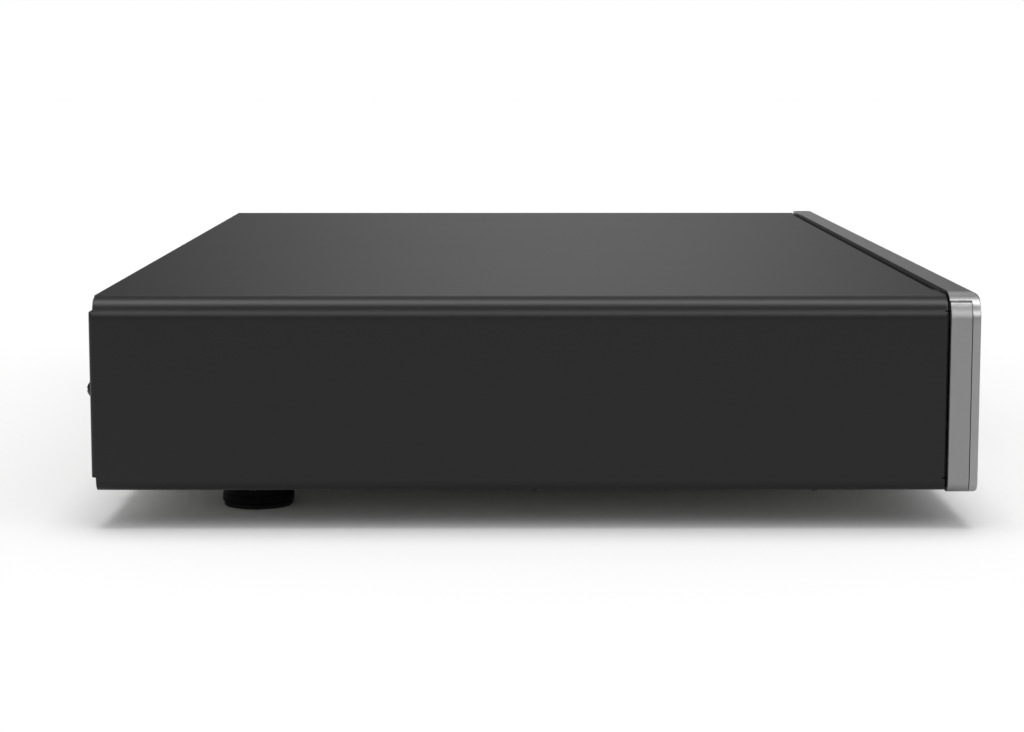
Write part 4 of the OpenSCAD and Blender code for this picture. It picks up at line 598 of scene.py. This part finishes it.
# Brushed anodised aluminium: a soft silver grey with long fine scratches.
silver_plate = brushed("brushed_anodised_aluminium", "#999999", "#9F9F9F", "#939393", 0.35, 0.003, 0.01)
plate_t, lip_t, plate_low_r, behind = 2.6, 2.6, 4.0, 20
top_edge, low_edge, end_edge, edge_steps, edge_fade = 2.6, 1.5, 0.4, 8, 12
window_w, window_h, window_r = 120.0, 44.0, 2.0
key_w, key_h, key_r, key_gap, standby_r = 16.0, 7.0, 3.45, 0.3, 6.5
serial_w, serial_h, serial_r, light_hole_r, shaft_hole_r = 13.9, 6.5, 0.6, 1.6, 3.6
keys = [(side, line) for side in ("left", "right") for line in ("top", "mid", "low")]
outline = corners(panel_w, panel_low, panel_top, panel_r, plate_low_r)
# The front edge is rounded most along the top, less along the bottom and least at the ends. Each
# point's radius follows from the way the outline faces there.
shape = bmesh.new()
layers = [[shape.verts.new(at(x, lip_d, z)) for x, z in outline]]
for k in range(edge_steps + 1):
    t = math.pi / 2 * k / edge_steps
    layer = []
    for (x0, z0), (x, z), (x1, z1) in zip(outline[-1:] + outline[:-1], outline, outline[1:] + outline[:1]):
        away = Vector((z1 - z0, x0 - x1)).normalized()
        r = end_edge + away.y ** edge_fade * ((top_edge if away.y > 0 else low_edge) - end_edge)
        inset = r * (1 - math.cos(t))
        layer.append(shape.verts.new(at(x - away.x * inset, r * (1 - math.sin(t)), z - away.y * inset)))
    layers.append(layer)
for one, two in zip(layers, layers[1:]):
    for i in range(len(outline)):
        shape.faces.new((one[i - 1], one[i], two[i], two[i - 1]))
shape.faces.new(layers[0])
shape.faces.new(layers[-1])
plate = closed(shape, "front_plate")
holes = bmesh.new()
lip_z, under = panel_top - lip_t, -20
slab(holes, [(panel_w, lip_z), (-panel_w, lip_z), (-panel_w, under), (panel_w, under)], plate_t, behind)
through = (-5, 2 * plate_t)
slab(holes, tablet(0, mid_z, window_w, window_h, window_r, 8), *through)
for side, line in keys:
    x, _, z = middle("button_%s_%s" % (side, line))
    slab(holes, tablet(x, z, key_w + 2 * key_gap, key_h + 2 * key_gap, key_r + key_gap), *through)
slab(holes, tablet(front_serial_x, mid_z, serial_w, serial_h, serial_r, 4), *through)
for node, r in (("standby_button", standby_r + key_gap), ("status_light", light_hole_r),
                ("encoder_shaft", shaft_hole_r)):
    x, _, z = middle(node)
    slab(holes, tablet(x, z, 2 * r, 2 * r, 0.999 * r, 16), *through)
finished(carved(plate, closed(holes, "plate_holes"), 0.2), silver_plate, "case", "fascia_aluminium",
         "front_fascia")

# Display: a thin colour panel behind a smoked acrylic window that drops into the plate's
# opening and is held by its hidden edge.

# Smoked acrylic: almost black and glass-smooth, with the faintest ripple of a cast sheet.
acrylic = moulded("smoked_acrylic", "#0A0B0C", "#0B0C0E", "#090A0B", 30, 0.01, 0.06)
window_gap, window_overlap, window_edge = 0.2, 0.4, 0.25
pane_w, pane_h, pane_r = window_w - 2 * window_gap, window_h - 2 * window_gap, window_r - window_gap
(edge_left, window_front, edge_low), (edge_right, window_back, edge_top) = reach("display_window")
shape = bmesh.new()
slab(shape, tablet(0, mid_z, pane_w, pane_h, pane_r, 8), window_front, plate_t + window_overlap,
     window_edge, 3)
slab(shape, tablet(0, mid_z, edge_right - edge_left, edge_top - edge_low, window_r, 6),
     plate_t, window_back)
finished(closed(shape, "smoked_window"), acrylic, "case", "window_acrylic", "display_window")
# Display glass: black with a faint grid of picture points, drawn 0.5 mm apart.
screen, tree, shader, where = started("display_glass", "#101216", 0.0, 0.12)
add(tree, "ShaderNodeTexBrick", {
    "Vector": where, "Scale": 1.0, "Color1": linear("#101216"), "Color2": linear("#12151A"),
    "Mortar": linear("#08090B"), "Mortar Size": 0.05 * MM, "Brick Width": 0.5 * MM,
    "Row Height": 0.5 * MM}, {"Color": shader.inputs["Base Color"]}, offset=0.0)
dress(screen, "display_module")

# Buttons: six pill-shaped keys and a round standby key, milled from aluminium and anodised,
# each on a stem that presses a small switch on the front board.

# Satin anodised aluminium: a shade paler than the plate, with shorter and shallower scratches.
satin_silver = brushed("satin_anodised_aluminium", "#9D9D9D", "#A3A3A3", "#979797", 0.34, 0.002, 0.02)
key_edge, collar_front, collar_back, collar_r, stem_r, overlap = 0.7, 2.7, 3.7, 3.5, 1.5, 0.2
for side, line in keys:
    name = "button_%s_%s" % (side, line)
    x, _, z = middle(name)
    (left, key_front, low), (right, stem_end, top) = reach(name)
    shape = bmesh.new()
    slab(shape, tablet(x, z, key_w, key_h, key_r), key_front, collar_front + overlap, key_edge, 4)
    slab(shape, tablet(x, z, right - left, top - low, collar_r, 8), collar_front, collar_back)
    slab(shape, tablet(x, z, 2 * stem_r, 2 * stem_r, stem_r - 0.01, 8), collar_back - overlap, stem_end)
    finished(closed(shape, name + "_key"), satin_silver, "key_%s_%s" % (side, line), "button_metal", name)
standby_x, dish_r, dish, round_collar_r = middle("standby_button")[0], 5.2, 0.15, 7.8
shape = bmesh.new()
turned(shape, [(0, key_front + dish), (dish_r, key_front + dish)]
       + corner(standby_r - key_edge, key_front + key_edge, key_edge, -75, 0)
       + [(standby_r, collar_front), (round_collar_r, collar_front), (round_collar_r, collar_back),
          (stem_r, collar_back), (stem_r, stem_end), (0, stem_end)],
       lambda a, b, d: at(standby_x + a, d, mid_z + b))
finished(closed(shape, "standby_key_cap"), satin_silver, "standby_key", "button_metal", "standby_button")
# Light pipe: clear polycarbonate with a frosted end.
lens = moulded("frosted_polycarbonate", "#D6D8DA", "#DEE0E2", "#CDCFD1", 0.3, 0.01, 0.35,
               Transmission_Weight=0.5)
eased("status_light", 0.25, lens, "case", "light_lens", 3)
# Switch housings: moulded in dull black plastic.
dress(moulded("switch_housing", "#1B1B1C", "#212122", "#161617", 0.5, 0.006, 0.5), "tact_switches")

# Selector knob: turned from solid aluminium with a finger dimple, set on the shaft of an
# encoder that also works as a push switch.

knob_x = middle("encoder_shaft")[0]
(_, knob_front, _), (_, knob_rear, _) = reach("selector_knob")
knob_r, knob_edge, knob_wall, heel_r = 21.0, 1.1, 2.5, 0.3
neck_front, neck_back, neck_in, neck_edge = -4.2, -3.1, 0.35, 0.3
hollow_d, hub_r, hub_back, hub_step_r, hub_step = -8.2, 8.5, -1.7, 7.0, -3.2
shaft_bore_r, shaft_bore_d = 3.05, -11.3
knob_dish = ((0, 0.25), (8, 0.2), (15, 0.06))
shape = bmesh.new()
turned(shape, [(r, knob_front + sunk) for r, sunk in knob_dish]
       + corner(knob_r - knob_edge, knob_front + knob_edge, knob_edge, -85, 0, 6)
       + [(knob_r, neck_front), (knob_r - neck_in, neck_front + neck_edge),
          (knob_r - neck_in, neck_back - neck_edge), (knob_r, neck_back)]
       + corner(knob_r - heel_r, knob_rear - heel_r, heel_r, 0, 90, 2)
       + [(knob_r - knob_wall, knob_rear), (knob_r - knob_wall, hollow_d), (hub_r, hollow_d),
          (hub_r, hub_back), (hub_step_r, hub_back), (hub_step_r, hub_step), (shaft_bore_r, hub_step),
          (shaft_bore_r, shaft_bore_d), (0, shaft_bore_d)],
       lambda a, b, d: at(knob_x + a, d, mid_z + b), 160)
knob = closed(shape, "knob_turning")
ball_r, ball_out, ball_up = 10.2, 9.0, 13.0
dimple = bmesh.new()
bmesh.ops.create_uvsphere(dimple, u_segments=64, v_segments=64, radius=ball_r * MM)
bmesh.ops.translate(dimple, verts=dimple.verts, vec=at(knob_x, knob_front - ball_out, mid_z + ball_up))
carved(knob, closed(dimple, "dimple_ball"), 0.15)
# Turned aluminium: fine rings round the axis from the lathe, drawn 0.5 mm apart.
turned_silver, tree, shader, where = started("turned_anodised_aluminium", "#9F9F9F", 1.0, 0.3)
centred = add(tree, "ShaderNodeMapping", {"Vector": where, "Location": -at(knob_x, 0, mid_z)})
rings = add(tree, "ShaderNodeTexWave", {
    "Vector": centred.outputs["Vector"], "Scale": band / 0.5, "Distortion": 0.1, "Detail": 1.0},
    wave_type="RINGS", rings_direction="Y").outputs["Fac"]
add(tree, "ShaderNodeMix", {0: rings, 6: linear("#999999"), 7: linear("#A5A5A5")},
    {2: shader.inputs["Base Color"]}, data_type="RGBA")
add(tree, "ShaderNodeMapRange", {"Value": rings, "To Min": 0.26, "To Max": 0.34},
    {"Result": shader.inputs["Roughness"]})
add(tree, "ShaderNodeBump", {"Height": rings, "Distance": 0.004 * MM}, {"Normal": shader.inputs["Normal"]})
finished(knob, turned_silver, "selector", "knob_aluminium", "selector_knob")
# Machined steel: a plain bright grey.
dress(plated("machined_steel", "#B7B7B6", "#C0C0BF", "#ABABAA", 0.28), "encoder_shaft")
dress(bright_zinc, "encoder_body", "encoder_nut")
dress(nylon, "encoder_plunger")

# Top cover: one sheet of 1.2 mm steel folded over the top and both sides, with narrow flanges
# at the ends and under the base. It slides on from behind and is held by eight black screws.

sheet_t, cover_top, skirt_r, skirt_in, skirt_fold = 1.2, 74.4, 4.0, 22.0, 12.0
bend_r, crease_r, crease = 8.4, 1.3, 26.5
lid_front, lid_rear, side_front, fold_r, front_r = 10.35, 280.5, 9.9, 1.6, 1.3
flange_low, flange_top, side_low, side_top = 16.6, 69.4, 16.0, 70.0
front_flange, rear_flange = 8.0, 14.0
# Rows of points between the ends keep the faces of the long walls near square.
side_rows, depth_rows = [30, 44, 58], [20 + 32 * k for k in range(8)] + [270]
edge_half, relief, edge_drop, hair = 190.5, 0.6, 1.3, 1e-6

# One half of the sheet's section, from the flange under the base up to the flat top. Bend and top
# meet in a crease, a small round where the sheet turns by that many degrees at once.
inner_r, tilt = bend_r - crease_r, math.radians(crease)
bend_x, bend_z = half - bend_r, cover_top - crease_r - inner_r * math.cos(tilt)
turns = [math.radians(crease + (90 - crease) * i / 20) for i in range(21)]
turns += [math.acos((z - bend_z) / bend_r) for z in (flange_top, side_top)]
right = [(half - skirt_in, cover_low), (half - skirt_fold, cover_low)]
right += corner(half - skirt_r, cover_low + skirt_r, skirt_r, -90, 0, 14)
right += [(half, z) for z in [flange_low] + side_rows]
right += [(bend_x + bend_r * math.sin(t), bend_z + bend_r * math.cos(t))
          for t in sorted(turns, reverse=True)]
right += corner(bend_x + inner_r * math.sin(tilt), cover_top - crease_r, crease_r, 90 - crease, 90, 5)[1:]
across = [edge_half + relief, edge_half] + [edge_half * k / 6 for k in range(5, -6, -1)]
across += [-edge_half, -edge_half - relief]
section = right + [(x, cover_top) for x in across] + [(-x, z) for x, z in reversed(right)]
depths = [lid_front, side_front + front_r, lid_front + fold_r] + depth_rows
depths += [body_d - fold_r, lid_rear]
shape = bmesh.new()
known = {}


def point(x, d, z):
    """The sheet's one corner at a place in mm."""
    key = (round(x, 3), round(d, 3), round(z, 3))
    if key not in known:
        known[key] = shape.verts.new(at(x, d, z))
    return known[key]


def sheet(lines):
    """Joins neighbouring lines of points by four-sided faces."""
    for one, two in zip(lines, lines[1:]):
        for i in range(len(one) - 1):
            shape.faces.new((point(*one[i]), point(*two[i]), point(*two[i + 1]), point(*one[i + 1])))


for one, two in zip(section, section[1:]):
    on_side = min(one[1], two[1]) > side_low - hair and max(one[1], two[1]) < side_top + hair
    on_edge = max(abs(one[0]), abs(two[0])) < edge_half + relief + hair and one[1] == two[1] == cover_top
    run = depths[1:-1] if on_side else depths[2:] if on_edge else depths
    sheet([[(x, d, z) for d in run] for x, z in (one, two)])
quarter = [math.pi / 2 * i / 8 for i in range(9)]
fold = [(lid_front + fold_r - fold_r * math.sin(t), cover_top - fold_r + fold_r * math.cos(t))
        for t in quarter]
fold.append((lid_front, cover_top - fold_r - edge_drop))
sheet([[(x, d, z) for d, z in fold] for x in across[1:-1]])
for s in (-1, 1):
    for start, away, width, r in ((side_front + front_r, -1, front_flange, front_r),
                                  (body_d - fold_r, 1, rear_flange, fold_r)):
        sheet([[(s * (x - r + r * math.cos(t)), start + away * r * math.sin(t), z) for t in quarter]
               + [(s * (half - width), start + away * r, z)]
               for x, z in right if flange_low - hair < z < flange_top + hair])
bmesh.ops.recalc_face_normals(shape, faces=shape.faces)
if max(shape.faces, key=lambda f: f.calc_center_median().z).normal.z < 0:
    bmesh.ops.reverse_faces(shape, faces=shape.faces)
mesh = bpy.data.meshes.new("folded_cover")
shape.to_mesh(mesh)
shape.free()
cover = piece("folded_cover", mesh)
wall = cover.modifiers.new("sheet", "SOLIDIFY")
wall.thickness, wall.offset, wall.use_even_offset = sheet_t * MM, -1, True
edge = cover.modifiers.new("edge", "BEVEL")
edge.width, edge.segments, edge.limit_method = 0.2 * MM, 2, "ANGLE"
edge.angle_limit = math.radians(50)
settled(cover)
# Dark grey powder coat: an even satin, paler at a glance along it, with a fine orange peel
# about 0.5 mm across.
grey_powder, tree, shader, where = started("grey_powder_coat", "#1E1E1E", 0.0, 0.33,
                                           Specular_IOR_Level=0.27)
mottled(tree, shader, where, 90, "#1F1F1F", "#1D1D1D", 0.006, 0.33)
grained(tree, shader, where, 0.5, 2.0, 0.004)
finished(cover, grey_powder, "case", "cover_paint", "top_cover", angle=40)

# Studio: a white paper floor under a dome that is brighter on the camera's side, and one wide lamp
# overhead that gloss doesn't see. The camera and clear plastic see white all round. Gloss sees a drawn
# room: dim walls, a glow ahead of the camera, a strip of light behind it and a light box overhead.

# The floor is measured in metres, so that its edge lies far outside the picture.
floor_half = 8.0
floor_corners = [(x * floor_half, y * floor_half, 0) for x, y in ((-1, -1), (1, -1), (1, 1), (-1, 1))]
mesh = bpy.data.meshes.new("floor")
mesh.from_pydata(floor_corners, [], [(0, 1, 2, 3)])
floor = piece("floor", mesh)
# White paper: matt, with a faint unevenness. The eye and gloss see it white, but it throws less light
# back, so that the object's underside stays dark.
paper, tree, shader, where = started("white_paper", "#FCFCFC", 0.0, 0.9, Specular_IOR_Level=0.0)
ray = add(tree, "ShaderNodeLightPath").outputs
seen = ray["Is Camera Ray"]
for kind in ("Is Glossy Ray", "Is Transmission Ray"):
    seen = add(tree, "ShaderNodeMath", {0: seen, 1: ray[kind]}, operation="MAXIMUM").outputs[0]
fibre = add(tree, "ShaderNodeTexNoise", {"Vector": where, "Scale": 1000 / 300, "Detail": 4.0})
page = add(tree, "ShaderNodeMix", {0: fibre.outputs["Fac"], 6: linear("#FBFBFB"), 7: linear("#FDFDFD")},
           data_type="RGBA")
add(tree, "ShaderNodeMix", {0: seen, 6: linear("#909090"), 7: page.outputs[2]},
    {2: shader.inputs["Base Color"]}, data_type="RGBA")
mesh.materials.append(paper)

world = bpy.data.worlds.new("studio")
bpy.context.scene.world = world
world.use_nodes = True
tree = world.node_tree
tree.nodes.clear()
wall_light, strip_light, box_light = 2.3, 6.2, 7.2
aim = add(tree, "ShaderNodeTexCoord").outputs["Generated"]
aim = add(tree, "ShaderNodeSeparateXYZ", {0: aim}).outputs
ray = add(tree, "ShaderNodeLightPath").outputs
drawn = {"x": aim["X"], "y": aim["Y"], "z": aim["Z"], "camera": ray["Is Camera Ray"],
         "clear": ray["Is Transmission Ray"], "gloss": ray["Is Glossy Ray"]}
# Each step makes a named value from two others, or a grey that follows one through a ramp's stops.
for name, step, one, two in (
        ("horizon", "RAMP", "z", ((0.005, 1.0), (0.02, 0.0))),
        ("aside", "ADD", "y", 0.028),
        ("aside", "POWER", "aside", 2.0),
        ("glow", "MULTIPLY", "aside", -41.0),
        ("glow", "EXPONENT", "glow", 0.0),
        ("ahead", "GREATER_THAN", "x", 0.0),
        ("glow", "MULTIPLY", "glow", "ahead"),
        ("glow", "MULTIPLY", "glow", wall_light),
        ("walls", "MULTIPLY", "aside", 0.5),
        ("walls", "ADD", "walls", 0.05),
        ("walls", "ADD", "glow", "walls"),
        ("height", "RAMP", "z", ((0.03, 0.1), (0.25, 0.16), (0.45, 0.3), (0.62, 0.65), (0.75, 1.0),
                                 (0.85, 1.0), (0.93, 0.3), (0.97, 0.03))),
        ("walls", "MULTIPLY", "walls", "height"),
        ("strip", "RAMP", "z", ((0.34, 0.0), (0.42, 1.0), (0.5, 1.0), (0.6, 0.0))),
        ("behind", "LESS_THAN", "x", -0.2),
        ("strip", "MULTIPLY", "strip", "behind"),
        ("strip", "MULTIPLY", "strip", strip_light),
        ("box", "ADD", "x", 0.19),
        ("box", "ABSOLUTE", "box", 0.0),
        ("box", "RAMP", "box", ((0.1, 1.0), (0.22, 0.0))),
        ("high", "RAMP", "z", ((0.6, 0.0), (0.75, 1.0))),
        ("box", "MULTIPLY", "box", "high"),
        ("box", "MULTIPLY", "box", box_light),
        ("lights", "MAXIMUM", "horizon", "box"),
        ("room", "ADD", "walls", "strip"),
        ("room", "MAXIMUM", "lights", "room"),
        ("white", "MAXIMUM", "camera", "clear"),
        ("not white", "SUBTRACT", 1.0, "white"),
        ("room", "MULTIPLY", "room", "not white"),
        ("shown", "ADD", "room", "white"),
        ("seen", "MAXIMUM", "white", "gloss"),
        ("fill", "MULTIPLY", "x", -0.35),
        ("fill", "ADD", "fill", 0.6)):
    if step == "RAMP":
        ramp = add(tree, "ShaderNodeValToRGB", {"Fac": drawn[one]})
        marks = ramp.color_ramp.elements
        marks[0].position, marks[1].position = two[0][0], two[-1][0]
        for place, grey in two[1:-1]:
            marks.new(place)
        for mark, (place, grey) in zip(marks, two):
            mark.color = (grey, grey, grey, 1)
        drawn[name] = ramp.outputs["Color"]
    else:
        drawn[name] = add(tree, "ShaderNodeMath", {0: drawn.get(one, one), 1: drawn.get(two, two)},
                          operation=step).outputs[0]
dome = add(tree, "ShaderNodeBackground", {"Color": linear("#FFFFFF"), "Strength": drawn["fill"]})
studio = add(tree, "ShaderNodeBackground", {"Color": drawn["shown"], "Strength": 1.0})
light = add(tree, "ShaderNodeMixShader", {0: drawn["seen"], 1: dome.outputs[0], 2: studio.outputs[0]})
add(tree, "ShaderNodeOutputWorld", {"Surface": light.outputs[0]})

lamp = bpy.data.lights.new("overhead_soft_box", "SUN")
lamp.energy, lamp.angle = 1.4, math.radians(34)
softbox = bpy.data.objects.new("overhead_soft_box", lamp)
softbox.rotation_euler = (0, math.radians(6), 0)
softbox.visible_glossy = False
bpy.context.scene.collection.objects.link(softbox)

# The camera stands left of the object, where the photo's edges put it, and looks a little down. Its
# place is in metres.
look_down, look_right = 7.1853, 90.1541
camera = bpy.data.objects.new("camera", bpy.data.cameras.new("camera"))
bpy.context.scene.collection.objects.link(camera)
camera.location = (-0.97467, 0.0127, 0.14821)
camera.rotation_euler = (math.radians(90 - look_down), 0, math.radians(-look_right))
camera.data.sensor_width, camera.data.lens = 36.0, 85.163
bpy.context.scene.camera = camera
bpy.context.scene.view_settings.view_transform = "Standard"
